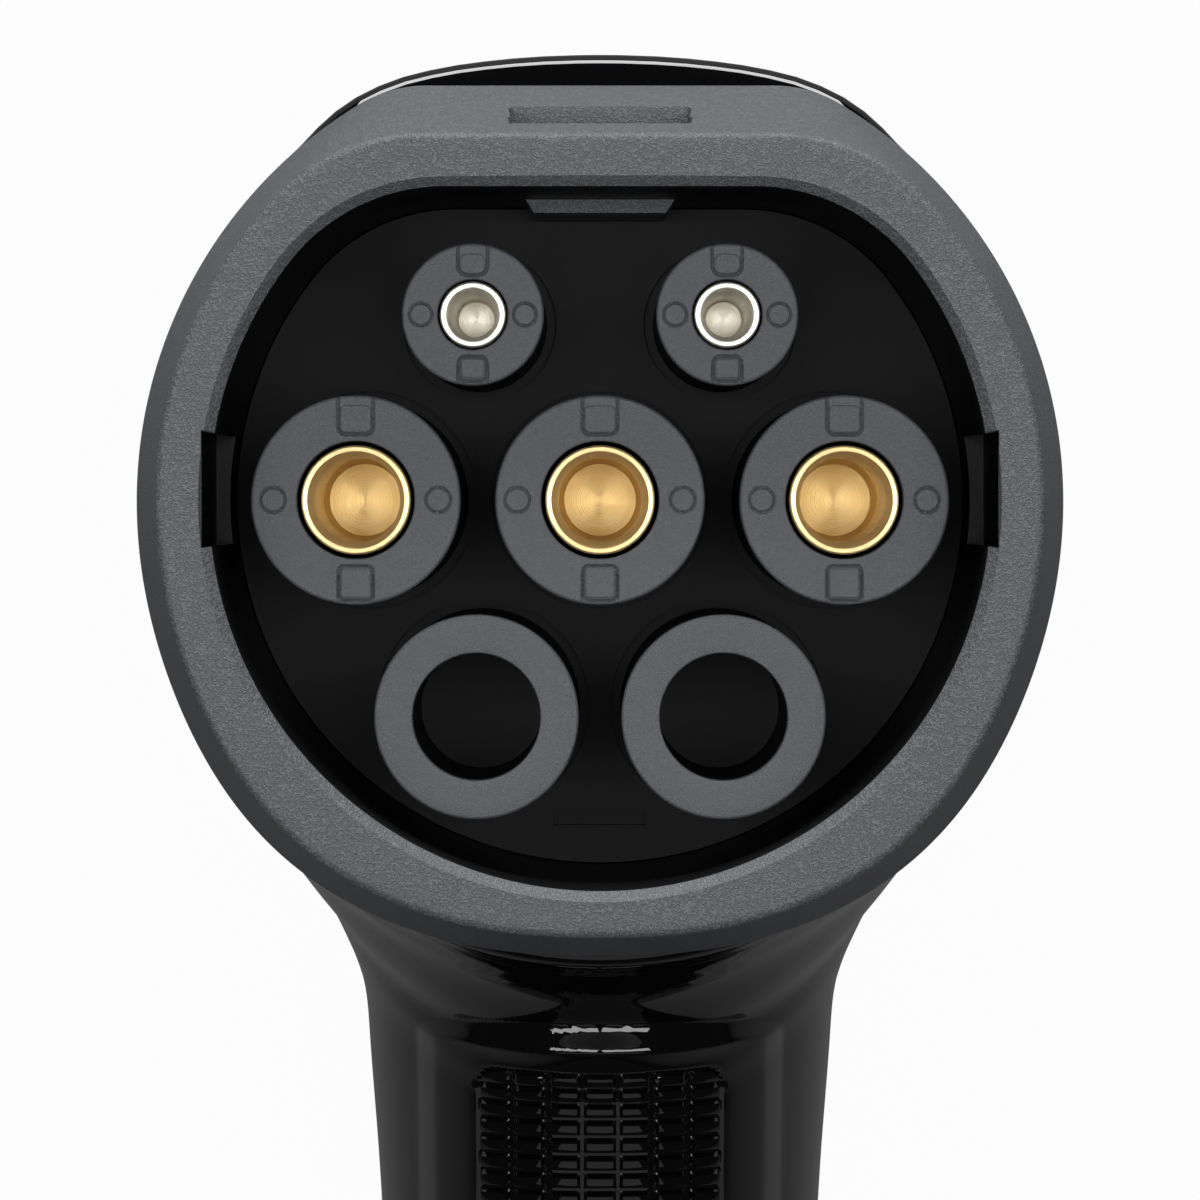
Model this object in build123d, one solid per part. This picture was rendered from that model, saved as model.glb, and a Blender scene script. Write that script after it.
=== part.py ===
from build123d import *
import os
from math import atan2, cos, degrees, pi, radians, sin, sqrt, tan

# Vehicle connector of an AC charging lead: a pistol-shaped plug with a D-shaped mating face.
# Millimetres.  The origin is the centre of the earth contact's mouth, on the mating face of the
# contact caps.  +Z points out of the mating face, +Y to the flat side of the D, -Y to the handle.
# The plug lies on its back, on the flat of the head's rear and on the edge of the gland nut.

# ---- contact pattern (centres on the mating face) ----
POWER_PITCH = 17.0        # line and neutral either side of earth
SIGNAL_X = 8.85           # control pilot and proximity pilot, upper row
SIGNAL_Y = 12.9
BLANK_X = 8.6             # the two unused phase positions, lower row
BLANK_Y = -15.1

# ---- contacts ----
POWER_BORE_R = 3.0
POWER_BORE_DEPTH = 20.0
POWER_CONTACT_R = 3.8
POWER_FLANGE_R = 4.8
POWER_TAIL = 17.5
POWER_CRIMP_R = 2.5
POWER_CRIMP_DEPTH = 12.0
SIGNAL_BORE_R = 1.5
SIGNAL_BORE_DEPTH = 14.0
SIGNAL_CONTACT_R = 2.3
SIGNAL_FLANGE_R = 3.2
SIGNAL_TAIL = 12.0
SIGNAL_CRIMP_R = 1.1
SIGNAL_CRIMP_DEPTH = 8.0
CONTACT_RECESS = 0.4      # contact mouth below the cap face
MOUTH_CHAMFER = 0.3
BORE_END_STEP = 0.24      # ledge where the reamed bore meets its drilled end
BORE_END_DEPTH = 1.0
FLANGE_T = 1.5

# ---- sleeves, caps and floor ----
POWER_SLEEVE_R = 7.3
SIGNAL_SLEEVE_R = 4.95
BLANK_SLEEVE_R = 7.12
BLANK_HOLE_R = 4.45
CONTACT_GAP = 0.3         # round a power contact in its sleeve
SIGNAL_GAP = 0.15
CAP_T = 2.0
CAP_CHAMFER = 0.25
MARK_DEPTH = 0.2          # ejector marks and snap windows in a cap's face
FLOOR_Z = -28.0
FLOOR_T = 5.0
BLANK_END_T = 4.0         # closed end of an unused sleeve
SPIGOT_WALL = 1.1         # wall of the sleeve's spigot in the floor plate
SPIGOT_GAP = 0.1
GROOVE_W = 0.7            # moulded groove round each sleeve's foot
GROOVE_DEPTH = 0.6
DRAIN_W = 6.8
DRAIN_H = 0.9
DRAIN_Y = -23.5
DRAIN_DEPTH = 1.0
RETAINER_T = 3.5
RESISTOR_R, RESISTOR_L = 1.2, 5.0
RESISTOR_DROP = 6.0       # behind the retainer
LEAD_R = 0.35
LEAD_GAP = 0.05
RETAINER_SCREW_X = 17.5
RETAINER_SCREW_Y = 12.5
PILOT_WEB = 1.0           # floor plate left in front of a screw's pilot hole

# ---- nose: grey bumper over the black liner ----
RIM_Z = 8.0
NOSE_BACK_Z = -12.0
RIM_R, RIM_FLAT, RIM_CORNER = 30.55, 25.2, 14.2
BACK_R, BACK_FLAT, BACK_CORNER = 33.2, 29.7, 9.3
OPENING_R, OPENING_FLAT, OPENING_CORNER = 26.8, 21.5, 13.5
LIP_CHAMFER = 0.7
LIP_T = 1.2
RIM_ROUND = 0.5
LINER_WALL = 1.4
LINER_GAP = 0.1
LINER_FLANGE_T = 2.5
GASKET_T = 1.0
SLOT_W = 12.4             # locking slot in the flat side
SLOT_FRONT_Z, SLOT_BACK_Z = 4.0, -3.0
SLOT_FLOOR_Y = 23.5
SLOT_DRAFT = 0.45
KEYWAY_TOP, KEYWAY_BOTTOM = 4.8, -3.3
KEYWAY_DEPTH = 1.0        # in the liner's wall
KEYWAY_LIP = 0.5          # in the bumper's lip
KEYWAY_BACK_Z = -20.0
TONGUE_W = 10.6           # snap tongue of the bumper, over the liner's flat side
TONGUE_T = 1.2
TONGUE_REACH = 0.9        # of its hook, below the liner's flat side
TONGUE_HOOK = 2.0
TONGUE_GAP = 0.15

# ---- head and handle ----
COLLAR_R = 33.5
COLLAR_BACK_Z = -21.0
COLLAR_CHAMFER = 1.2
NECK_R = 20.0             # bend in front, between collar and handle
BEND = 65.0               # degrees that the body turns from the mating axis into the handle
GRIP = 85.0               # length of the handle after the bend
SWAY = 8.0                # degrees that the handle turns further, over its length
WALL = 2.5
END_WALL = 3.0
LEDGE_T = 3.0

# Stations of the body.  Each is a flat section that holds the X direction and stands on the axis of
# the neck bend: bend angle, length along the handle, distance of the widest place from the bend's
# axis, half width, distance of the back, and the roundness exponents of the front and back halves.
STATIONS = [
    (0, 0, COLLAR_R + NECK_R, COLLAR_R, 85.8, 2.0, 2.3),
    (8, 0, 54.0, 33.6, 86.75, 2.0, 2.3),
    (16, 0, 55.6, 33.6, 89.3, 2.0, 2.3),
    (24, 0, 58.4, 33.5, 93.0, 2.0, 2.3),
    (32, 0, 62.5, 33.1, 96.2, 1.95, 2.35),
    (40, 0, 66.0, 31.8, 99.3, 1.9, 2.45),
    (47, 0, 64.5, 28.6, 101.6, 1.85, 2.6),
    (53, 0, 58.5, 24.4, 102.8, 1.9, 2.7),
    (58, 0, 51.0, 21.1, 102.0, 1.95, 2.7),
    (62, 0, 46.5, 19.3, 94.0, 2.0, 2.6),
    (65, 0, 44.0, 18.4, 82.0, 2.0, 2.5),
    (65, 5, 42.5, 17.8, 71.5, 2.0, 2.4),
    (65, 12, 41.0, 17.3, 63.5, 2.0, 2.35),
    (65, 22, 39.5, 16.8, 58.0, 2.0, 2.3),
    (65, 34, 38.4, 16.6, 55.4, 2.0, 2.3),
    (65, 46, 37.8, 16.6, 54.3, 2.0, 2.3),
    (65, 58, 37.5, 16.8, 54.0, 2.0, 2.3),
    (65, 70, 37.7, 17.0, 54.6, 2.0, 2.3),
    (65, 85, 38.0, 17.2, 55.5, 2.0, 2.3),
]
SECTION_POINTS = 28

# ---- raised panel and grip pad on the handle's front ----
PANEL_RAISE = 1.8
PANEL_HALF_W = 14.9
PANEL_TOP, PANEL_END = -9.9, 70.0
PANEL_CORNER = 4.0
PANEL_DRAFT = 20.0
PRISM_DEPTH = 12.0        # how far the panel's outline reaches into the handle
PAD_HALF_W = 8.4
PAD_TOP, PAD_END = -3.0, 64.0
PAD_CORNER = 1.6
PAD_SEAT = 1.0            # depth of its seat in the panel
PAD_PROUD = 0.5
PAD_GAP = 0.1
RAISED_SHORT = 4.0        # the raised body stops this far before the handle's end

# ---- handle fittings ----
CABLE_R = 5.6             # bore of the seal, for the cable
CABLE_DIST = 38.0         # cable axis from the bend's axis
GLAND_FLANGE_R, GLAND_FLANGE_T = 12.0, 3.0
GLAND_TUBE_R, GLAND_TUBE_L = 10.0, 10.0
GLAND_BORE_R = 7.4
GLAND_SEAT_R, GLAND_SEAT_Z = 8.6, 2.0
RIB_T = 3.0
CLAW_WALL = 1.6
CLAW_L = 9.5
CLAW_SLOT = 1.4
CLAW_SLOTS = 6
CLAW_BAND = 2.5           # unslotted length at the claw's foot
SEAL_SHORT = 1.0          # the seal ends this far inside the claw's tips
NUT_R, NUT_L = 15.0, 14.0
NUT_START = 1.0
NUT_LIP_T = 3.0
NUT_HOLE_R = 6.8
NUT_FLUTES = 12
NUT_FLUTE_R = 1.6
NUT_CHAMFER = 1.0
NUT_BAND = 2.0            # plain band behind the flutes
NUT_FLUTE_OUT = 0.45      # share of a flute's radius that its axis stands outside the nut
FIT_GAP = 0.15

# ---- screws ----
SCREW_R = 1.45
SCREW_HEAD_R = 2.75
SCREW_HEAD_T = 2.0
SCREW_GAP = 0.2
BOSS_R = 4.0              # leaves a wall round a screw head's recess
CLAMP_BOSS_R = 3.1
DRIVE_R, DRIVE_DEPTH = 1.3, 1.0
HEAD_SCREW_X, HEAD_SCREW_Y = 23.0, 17.5
HEAD_SEAT_Z = -52.0
HEAD_BOSS_Z = -37.0
GRIP_SCREW_X = 10.9
GRIP_SCREW_AT = (30.0, 69.0)
GRIP_SEAT_DIST = 45.5
RECESS_FAR = 75.0         # behind the handle's back
SCREW_L = 14.0
RETAINER_SCREW_L = 6.5
CLAMP_AT = 54.0
CLAMP_HALF_L, CLAMP_W, CLAMP_T = 12.6, 8.0, 4.0
CLAMP_ARCH_WALL = 1.6
CLAMP_DIST = 38.2         # seat of the clamp on its two pillars
CLAMP_SCREW_X = 9.9
CLAMP_SCREW_L = 11.0
PILOT_CLEAR = 0.05        # round a screw in its moulded pilot hole

# ---- parting of the two housings ----
PART_Z = -46.0
PART_TURN_Y = -22.0
PART_DIST = 39.0

SPAN = 200.0
BEND_Y, BEND_Z = -(COLLAR_R + NECK_R), NOSE_BACK_Z
FLOOR_BACK_Z = FLOOR_Z - FLOOR_T
LINER_R = OPENING_R + LINER_WALL
LINER_FLAT = OPENING_FLAT + LINER_WALL
LINER_CORNER = OPENING_CORNER + LINER_WALL
LEDGE_Z = COLLAR_BACK_Z - LINER_FLANGE_T - GASKET_T
POWER_AT = {"l1": (-POWER_PITCH, 0.0), "pe": (0.0, 0.0), "n": (POWER_PITCH, 0.0)}
SIGNAL_AT = {"cp": (-SIGNAL_X, SIGNAL_Y), "pp": (SIGNAL_X, SIGNAL_Y)}
BLANK_AT = {"l2": (-BLANK_X, BLANK_Y), "l3": (BLANK_X, BLANK_Y)}


# ---------------------------------------------------------------- helpers
def d_face(radius, flat, corner, z):
    """D outline: an arc of the radius about the axis, closed by a flat with two tangent corners."""
    cx = sqrt((radius - corner) ** 2 - (flat - corner) ** 2)
    cy = flat - corner
    grow = radius / (radius - corner)
    middle = (atan2(cy, cx) + pi / 2) / 2
    tx, ty = cx * grow, cy * grow
    mx, my = cx + corner * cos(middle), cy + corner * sin(middle)
    edges = [
        ThreePointArc((tx, ty), (0, -radius), (-tx, ty)),
        ThreePointArc((-tx, ty), (-mx, my), (-cx, flat)),
        Line((-cx, flat), (cx, flat)),
        ThreePointArc((cx, flat), (mx, my), (tx, ty)),
    ]
    return Pos(0, 0, z) * make_face(edges)


def d_prism(radius, flat, corner, z_front, z_back):
    return extrude(d_face(radius, flat, corner, z_back), z_front - z_back)


def rod(radius, z_front, z_back, x=0.0, y=0.0):
    """Cylinder along Z between two heights."""
    shape = Cylinder(radius, z_front - z_back, align=(Align.CENTER, Align.CENTER, Align.MIN))
    return Pos(x, y, z_back) * shape


def block(x0, x1, y0, y1, z0, z1):
    return Pos((x0 + x1) / 2, (y0 + y1) / 2, (z0 + z1) / 2) * Box(x1 - x0, y1 - y0, z1 - z0)


def turned(profile):
    """Solid of revolution about Z from (radius, height) points."""
    return revolve(make_face(Polyline([(r, 0, z) for r, z in profile], close=True)), Axis.Z)


def screw(length):
    """Pan-head screw along Z: its head stands on z = 0 and its shank points to -Z."""
    body = rod(SCREW_R, 0, -length) + rod(SCREW_HEAD_R, SCREW_HEAD_T, 0)
    return body - rod(DRIVE_R, SCREW_HEAD_T, SCREW_HEAD_T - DRIVE_DEPTH)


def grip_frame(s, bend=BEND):
    """Where a section stands: its place on the bend's axis, carried along the handle, and its angle."""
    curve = radians(SWAY) / GRIP
    start = radians(bend)
    angle = start + curve * s
    y = BEND_Y + (cos(angle) - cos(start)) / curve
    z = BEND_Z - (sin(angle) - sin(start)) / curve
    return y, z, angle


def grip_plane(s, dist):
    """Plane across the handle: X stays X, its normal runs along the handle towards the gland."""
    y, z, angle = grip_frame(s)
    origin = (0, y + dist * cos(angle), z - dist * sin(angle))
    return Plane(origin=origin, x_dir=(1, 0, 0), z_dir=(0, -sin(angle), -cos(angle)))


def grip_face_plane(s, dist):
    """Plane along the handle: X stays X, its normal points out of the handle's front."""
    y, z, angle = grip_frame(s)
    origin = (0, y + dist * cos(angle), z - dist * sin(angle))
    return Plane(origin=origin, x_dir=(1, 0, 0), z_dir=(0, -cos(angle), sin(angle)))


def station_wire(station, grow):
    """Closed smooth outline of one section: a front and a back half of superellipse form."""
    bend, s, centre, half_w, back, front_n, back_n = station
    y, z, angle = grip_frame(s, bend)
    points = []
    for i in range(SECTION_POINTS):
        turn = 2 * pi * i / SECTION_POINTS - pi / 2
        c, d = cos(turn), sin(turn)
        n = back_n if d > 0 else front_n
        reach = (back - centre if d > 0 else centre - NECK_R) + grow
        x = (half_w + grow) * (1 if c > 0 else -1) * abs(c) ** (2 / n)
        dist = centre + reach * (1 if d > 0 else -1) * abs(d) ** (2 / n)
        points.append((x, y + dist * cos(angle), z - dist * sin(angle)))
    return Wire(Edge.make_spline([Vector(*p) for p in points], periodic=True))


def body(grow=0.0, end=GRIP):
    """Head, neck and handle as one smooth loft, grown outwards (or shrunk) by one distance."""
    wires = [station_wire(st, grow) for st in STATIONS if st[1] < end]
    last = STATIONS[-1]
    wires.append(station_wire((last[0], end) + last[2:], grow))
    return Solid.make_loft(wires)


def rest_z():
    """Height of the surface that the plug lies on: the lowest edge of the gland nut."""
    y, z, angle = grip_frame(GRIP)
    centre_z = z - CABLE_DIST * sin(angle) - (NUT_START + NUT_L - NUT_CHAMFER) * cos(angle)
    return centre_z - NUT_R * sin(angle)


def front_side():
    """Everything in front of the parting of the two housings."""
    points = [(SPAN, PART_Z), (PART_TURN_Y, PART_Z)]
    for s in (0.0, GRIP / 3, 2 * GRIP / 3, GRIP + 40.0):
        y, z, angle = grip_frame(s)
        points.append((y + PART_DIST * cos(angle), z - PART_DIST * sin(angle)))
    points += [(-SPAN, SPAN), (SPAN, SPAN)]
    outline = make_face(Polyline([(0, y, z) for y, z in points], close=True))
    return extrude(outline, SPAN, dir=(1, 0, 0), both=True)


# ---------------------------------------------------------------- contacts and their carrier
def contact(radius, bore_r, bore_depth, flange_r, tail_r, tail, crimp_r, crimp_depth):
    """Turned socket contact: open bore in front, flange behind the floor, crimp barrel at the rear."""
    mouth = -CONTACT_RECESS
    bore_end = mouth - bore_depth
    flange_back = FLOOR_BACK_Z - FLANGE_T
    tail_end = flange_back - tail
    step_r = bore_r - BORE_END_STEP
    outline = [
        (bore_r + MOUTH_CHAMFER, mouth), (radius, mouth), (radius, FLOOR_BACK_Z), (flange_r, FLOOR_BACK_Z),
        (flange_r, flange_back), (tail_r, flange_back), (tail_r, tail_end), (crimp_r, tail_end),
        (crimp_r, tail_end + crimp_depth), (0, tail_end + crimp_depth),
        (0, bore_end - BORE_END_DEPTH - step_r / 3), (step_r, bore_end - BORE_END_DEPTH),
        (step_r, bore_end), (bore_r, bore_end), (bore_r, mouth - MOUTH_CHAMFER),
    ]
    return turned(outline)


def power_contact(x, y):
    return Pos(x, y, 0) * contact(POWER_CONTACT_R, POWER_BORE_R, POWER_BORE_DEPTH, POWER_FLANGE_R,
                                  POWER_CONTACT_R, POWER_TAIL, POWER_CRIMP_R, POWER_CRIMP_DEPTH)


def signal_contact(x, y):
    return Pos(x, y, 0) * contact(SIGNAL_CONTACT_R, SIGNAL_BORE_R, SIGNAL_BORE_DEPTH, SIGNAL_FLANGE_R,
                                  SIGNAL_CONTACT_R, SIGNAL_TAIL, SIGNAL_CRIMP_R, SIGNAL_CRIMP_DEPTH)


def sleeve(radius, hole_r, x, y):
    """Insulating sleeve that stands on the floor, with a spigot through it."""
    shape = rod(radius, -CAP_T, FLOOR_Z) + rod(hole_r + SPIGOT_WALL, FLOOR_Z, FLOOR_BACK_Z)
    return Pos(x, y, 0) * (shape - rod(hole_r, 0, FLOOR_BACK_Z))


def blank_sleeve(x, y):
    """Sleeve of an unused position: the same shape, closed at its foot."""
    shape = rod(BLANK_SLEEVE_R, -CAP_T, FLOOR_Z) + rod(BLANK_HOLE_R + SPIGOT_WALL, FLOOR_Z, FLOOR_BACK_Z)
    return Pos(x, y, 0) * (shape - rod(BLANK_HOLE_R, 0, FLOOR_Z + BLANK_END_T))


def cap_ring(radius, hole_r):
    ring = rod(radius, 0, -CAP_T) - rod(hole_r, 0, -CAP_T)
    rims = ring.edges().filter_by(GeomType.CIRCLE).group_by(Axis.Z)[-1]
    return chamfer(rims, CAP_CHAMFER)


def contact_cap(radius, hole_r, x, y):
    """Touch-proof cap: two ejector marks at its sides and a snap window above and below the hole."""
    land = (radius + hole_r) / 2
    width = radius * 0.34
    cap = cap_ring(radius, hole_r)
    for side in (-1, 1):
        cap -= rod(radius / 8, 0, -MARK_DEPTH, side * land, 0)
        cap -= block(-width / 2, width / 2, side * land - width / 2, side * land + width / 2, -MARK_DEPTH, 0)
    return Pos(x, y, 0) * cap


def blank_ring(x, y):
    return Pos(x, y, 0) * cap_ring(BLANK_SLEEVE_R, BLANK_HOLE_R)


def carrier_floor():
    """Plate at the bottom of the mating cavity, holding every sleeve's spigot."""
    plate = d_prism(OPENING_R - LINER_GAP, OPENING_FLAT - LINER_GAP, OPENING_CORNER - LINER_GAP,
                    FLOOR_Z, FLOOR_BACK_Z)
    feet = [(at, POWER_SLEEVE_R, POWER_CONTACT_R + CONTACT_GAP) for at in POWER_AT.values()]
    feet += [(at, SIGNAL_SLEEVE_R, SIGNAL_CONTACT_R + SIGNAL_GAP) for at in SIGNAL_AT.values()]
    feet += [(at, BLANK_SLEEVE_R, BLANK_HOLE_R) for at in BLANK_AT.values()]
    for (x, y), radius, hole_r in feet:
        plate -= rod(hole_r + SPIGOT_WALL + SPIGOT_GAP, FLOOR_Z, FLOOR_BACK_Z, x, y)
        groove = rod(radius + GROOVE_W, FLOOR_Z, FLOOR_Z - GROOVE_DEPTH)
        groove -= rod(radius, FLOOR_Z, FLOOR_Z - GROOVE_DEPTH)
        plate -= Pos(x, y, 0) * groove
    for side in (-1, 1):
        plate -= rod(SCREW_R + PILOT_CLEAR, FLOOR_BACK_Z + FLOOR_T - PILOT_WEB, FLOOR_BACK_Z,
                     side * RETAINER_SCREW_X, RETAINER_SCREW_Y)
        plate -= rod(SCREW_R + PILOT_CLEAR, FLOOR_BACK_Z + FLOOR_T - PILOT_WEB, FLOOR_BACK_Z,
                     side * RETAINER_SCREW_X, -RETAINER_SCREW_Y)
    plate -= block(-DRAIN_W / 2, DRAIN_W / 2, DRAIN_Y - DRAIN_H / 2, DRAIN_Y + DRAIN_H / 2,
                   FLOOR_Z - DRAIN_DEPTH, FLOOR_Z)
    return plate


def contact_retainer():
    """Plate screwed behind the floor: it traps the contacts' flanges and the end of the liner."""
    back = FLOOR_BACK_Z - RETAINER_T
    plate = d_prism(LINER_R, LINER_FLAT, LINER_CORNER, FLOOR_BACK_Z, back)
    for x, y in POWER_AT.values():
        plate -= rod(POWER_FLANGE_R + FIT_GAP, FLOOR_BACK_Z, FLOOR_BACK_Z - FLANGE_T, x, y)
        plate -= rod(POWER_CONTACT_R + FIT_GAP, FLOOR_BACK_Z, back, x, y)
    for x, y in SIGNAL_AT.values():
        plate -= rod(SIGNAL_FLANGE_R + FIT_GAP, FLOOR_BACK_Z, FLOOR_BACK_Z - FLANGE_T, x, y)
        plate -= rod(SIGNAL_CONTACT_R + FIT_GAP, FLOOR_BACK_Z, back, x, y)
    for sx in (-1, 1):
        for sy in (-1, 1):
            plate -= rod(SCREW_R + SCREW_GAP, FLOOR_BACK_Z, back,
                         sx * RETAINER_SCREW_X, sy * RETAINER_SCREW_Y)
    return plate


def retainer_screws():
    """Four screws from behind, through the retainer into the floor plate."""
    back = FLOOR_BACK_Z - RETAINER_T
    one = Rot(180, 0, 0) * screw(RETAINER_SCREW_L)
    places = [(sx * RETAINER_SCREW_X, sy * RETAINER_SCREW_Y) for sx in (-1, 1) for sy in (-1, 1)]
    return Compound([Pos(x, y, back) * one for x, y in places])


def proximity_resistor():
    """Axial resistor that codes the cable's rating, its leads reaching the earth and proximity tails."""
    apart = sqrt(SIGNAL_X ** 2 + SIGNAL_Y ** 2)
    near, far = POWER_CONTACT_R + LEAD_GAP, apart - SIGNAL_CONTACT_R - LEAD_GAP
    along = Rot(0, 90, 0)
    middle = Pos((near + far) / 2, 0, 0)
    shape = middle * (along * Cylinder(LEAD_R, far - near))
    shape += middle * (along * Cylinder(RESISTOR_R, RESISTOR_L))
    turn = degrees(atan2(SIGNAL_Y, SIGNAL_X))
    return Pos(0, 0, FLOOR_BACK_Z - RETAINER_T - RESISTOR_DROP) * (Rot(0, 0, turn) * shape)


# ---------------------------------------------------------------- nose
def tongue_channel(gap):
    """Room for the bumper's snap tongue, over the liner's flat side."""
    return block(-TONGUE_W / 2 - gap, TONGUE_W / 2 + gap, LINER_FLAT - gap, LINER_FLAT + TONGUE_T + gap,
                 FLOOR_Z - gap, NOSE_BACK_Z + 1.0)


def nose_section(z, inset=0.0):
    """Outline of the flared nose at one height, drawn in by an inset."""
    share = (RIM_Z - z) / (RIM_Z - NOSE_BACK_Z)
    radius = RIM_R + share * (BACK_R - RIM_R) - inset
    flat = RIM_FLAT + share * (BACK_FLAT - RIM_FLAT) - inset
    corner = RIM_CORNER + share * (BACK_CORNER - RIM_CORNER) - inset
    return d_face(radius, flat, corner, z)


def nose_bumper():
    """Soft grey D-shaped bumper: flared outside, locking slot in its flat side, snap tongue behind."""
    outer = loft([nose_section(NOSE_BACK_Z), nose_section(RIM_Z - RIM_ROUND), nose_section(RIM_Z, RIM_ROUND)],
                 ruled=True)
    shape = outer - d_prism(LINER_R + LINER_GAP, LINER_FLAT + LINER_GAP, LINER_CORNER + LINER_GAP,
                            RIM_Z - LIP_T, NOSE_BACK_Z)
    shape -= d_prism(OPENING_R, OPENING_FLAT, OPENING_CORNER, RIM_Z, NOSE_BACK_Z)
    shape -= loft([d_face(OPENING_R, OPENING_FLAT, OPENING_CORNER, RIM_Z - LIP_CHAMFER),
                   d_face(OPENING_R + LIP_CHAMFER, OPENING_FLAT + LIP_CHAMFER, OPENING_CORNER + LIP_CHAMFER,
                          RIM_Z)], ruled=True)
    reach = OPENING_R + KEYWAY_LIP
    shape -= block(-reach, reach, KEYWAY_BOTTOM, KEYWAY_TOP, NOSE_BACK_Z, RIM_Z)
    half, narrow = SLOT_W / 2, SLOT_W / 2 - SLOT_DRAFT
    floor = make_face(Polyline([(-narrow, SLOT_FLOOR_Y), (narrow, SLOT_FLOOR_Y), (half, BACK_FLAT),
                                (-half, BACK_FLAT)], close=True))
    shape -= Pos(0, 0, SLOT_BACK_Z) * extrude(floor, SLOT_FRONT_Z - SLOT_BACK_Z)
    tongue = block(-TONGUE_W / 2, TONGUE_W / 2, LINER_FLAT + LINER_GAP, LINER_FLAT + TONGUE_T,
                   FLOOR_Z, NOSE_BACK_Z)
    hook = block(-TONGUE_W / 2, TONGUE_W / 2, OPENING_FLAT - TONGUE_REACH, LINER_FLAT + TONGUE_T,
                 FLOOR_Z, FLOOR_Z + TONGUE_HOOK)
    return shape + (tongue + hook)


def nose_liner():
    """Hard black lining of the mating cavity, with keyways at its sides and a clamped flange."""
    shape = d_prism(LINER_R, LINER_FLAT, LINER_CORNER, RIM_Z - LIP_T, FLOOR_BACK_Z)
    slab = block(-SPAN, SPAN, -SPAN, SPAN, COLLAR_BACK_Z - LINER_FLANGE_T, COLLAR_BACK_Z)
    flange = body(-WALL - FIT_GAP) & slab
    shape = shape + flange
    shape -= d_prism(OPENING_R, OPENING_FLAT, OPENING_CORNER, RIM_Z, FLOOR_BACK_Z)
    reach = OPENING_R + KEYWAY_DEPTH
    keyway = block(-reach, reach, KEYWAY_BOTTOM, KEYWAY_TOP, KEYWAY_BACK_Z, RIM_Z)
    shape -= keyway
    shape -= tongue_channel(TONGUE_GAP)
    shape -= block(-TONGUE_W / 2 - TONGUE_GAP, TONGUE_W / 2 + TONGUE_GAP, 0, LINER_FLAT + TONGUE_T,
                   FLOOR_Z - TONGUE_GAP, FLOOR_Z + TONGUE_HOOK + TONGUE_GAP) \
        & block(-SPAN, SPAN, OPENING_FLAT - 1.0, SPAN, -SPAN, SPAN)
    return shape


def nose_gasket():
    """Flat seal between the liner's flange and the ledge inside the front housing."""
    slab = block(-SPAN, SPAN, -SPAN, SPAN, LEDGE_Z, COLLAR_BACK_Z - LINER_FLANGE_T)
    ring = body(-WALL - FIT_GAP) & slab
    ring -= d_prism(LINER_R + LINER_GAP, LINER_FLAT + LINER_GAP, LINER_CORNER + LINER_GAP, 0, LEDGE_Z - 1.0)
    return ring - tongue_channel(TONGUE_GAP)


# ---------------------------------------------------------------- housings
def collar_ring():
    """Glossy ring behind the bumper: it clamps the liner's flange to the front housing."""
    length = NOSE_BACK_Z - COLLAR_BACK_Z
    front = station_wire(STATIONS[0], -COLLAR_CHAMFER)
    back = station_wire(STATIONS[0], length - COLLAR_CHAMFER).moved(Location((0, 0, -length)))
    ring = body() & block(-SPAN, SPAN, -SPAN, SPAN, COLLAR_BACK_Z, 0)
    ring &= Solid.make_loft([front, back], ruled=True)
    ring -= d_prism(LINER_R + LINER_GAP, LINER_FLAT + LINER_GAP, LINER_CORNER + LINER_GAP,
                    0, COLLAR_BACK_Z - 1.0)
    return ring - tongue_channel(TONGUE_GAP)


def plan_prism(half_w, top, end, corner, draft=0.0):
    """Rounded rectangle on the handle's front, carried through its front half and drawn in by a draft."""
    middle, length = (top + end) / 2, end - top
    near, far = NECK_R + PRISM_DEPTH, NECK_R - PRISM_DEPTH / 2
    draw_in = (near - far) * tan(radians(draft))
    ends = []
    for dist, inset in ((near, 0.0), (far, draw_in)):
        outline = RectangleRounded(2 * (half_w - inset), length - 2 * inset, corner)
        ends.append(grip_face_plane(0, dist) * (Pos(0, -middle, 0) * outline))
    return loft(ends, ruled=True)


def head_boss(side, z_front, z_back, radius):
    return rod(radius, z_front, z_back, side * HEAD_SCREW_X, HEAD_SCREW_Y)


def grip_rod(side, s, x, near, far, radius):
    """Cylinder square to the handle, from one distance behind the bend's axis to another."""
    place = grip_face_plane(s, far)
    shape = Cylinder(radius, far - near, align=(Align.CENTER, Align.CENTER, Align.MIN))
    return place * (Pos(side * x, 0, 0) * shape)


def end_parts():
    """Solid and hole of the handle's end: an end wall and a rib that trap the gland's flange."""
    rib_face = -END_WALL - GLAND_FLANGE_T - 3 * FIT_GAP
    end = grip_plane(GRIP, CABLE_DIST)
    rib = end * (Pos(0, 0, rib_face - RIB_T / 2) * Box(SPAN, SPAN, RIB_T))
    hole = end * rod(GLAND_TUBE_R + FIT_GAP, END_WALL, rib_face - 2 * RIB_T)
    return rib, hole


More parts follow.
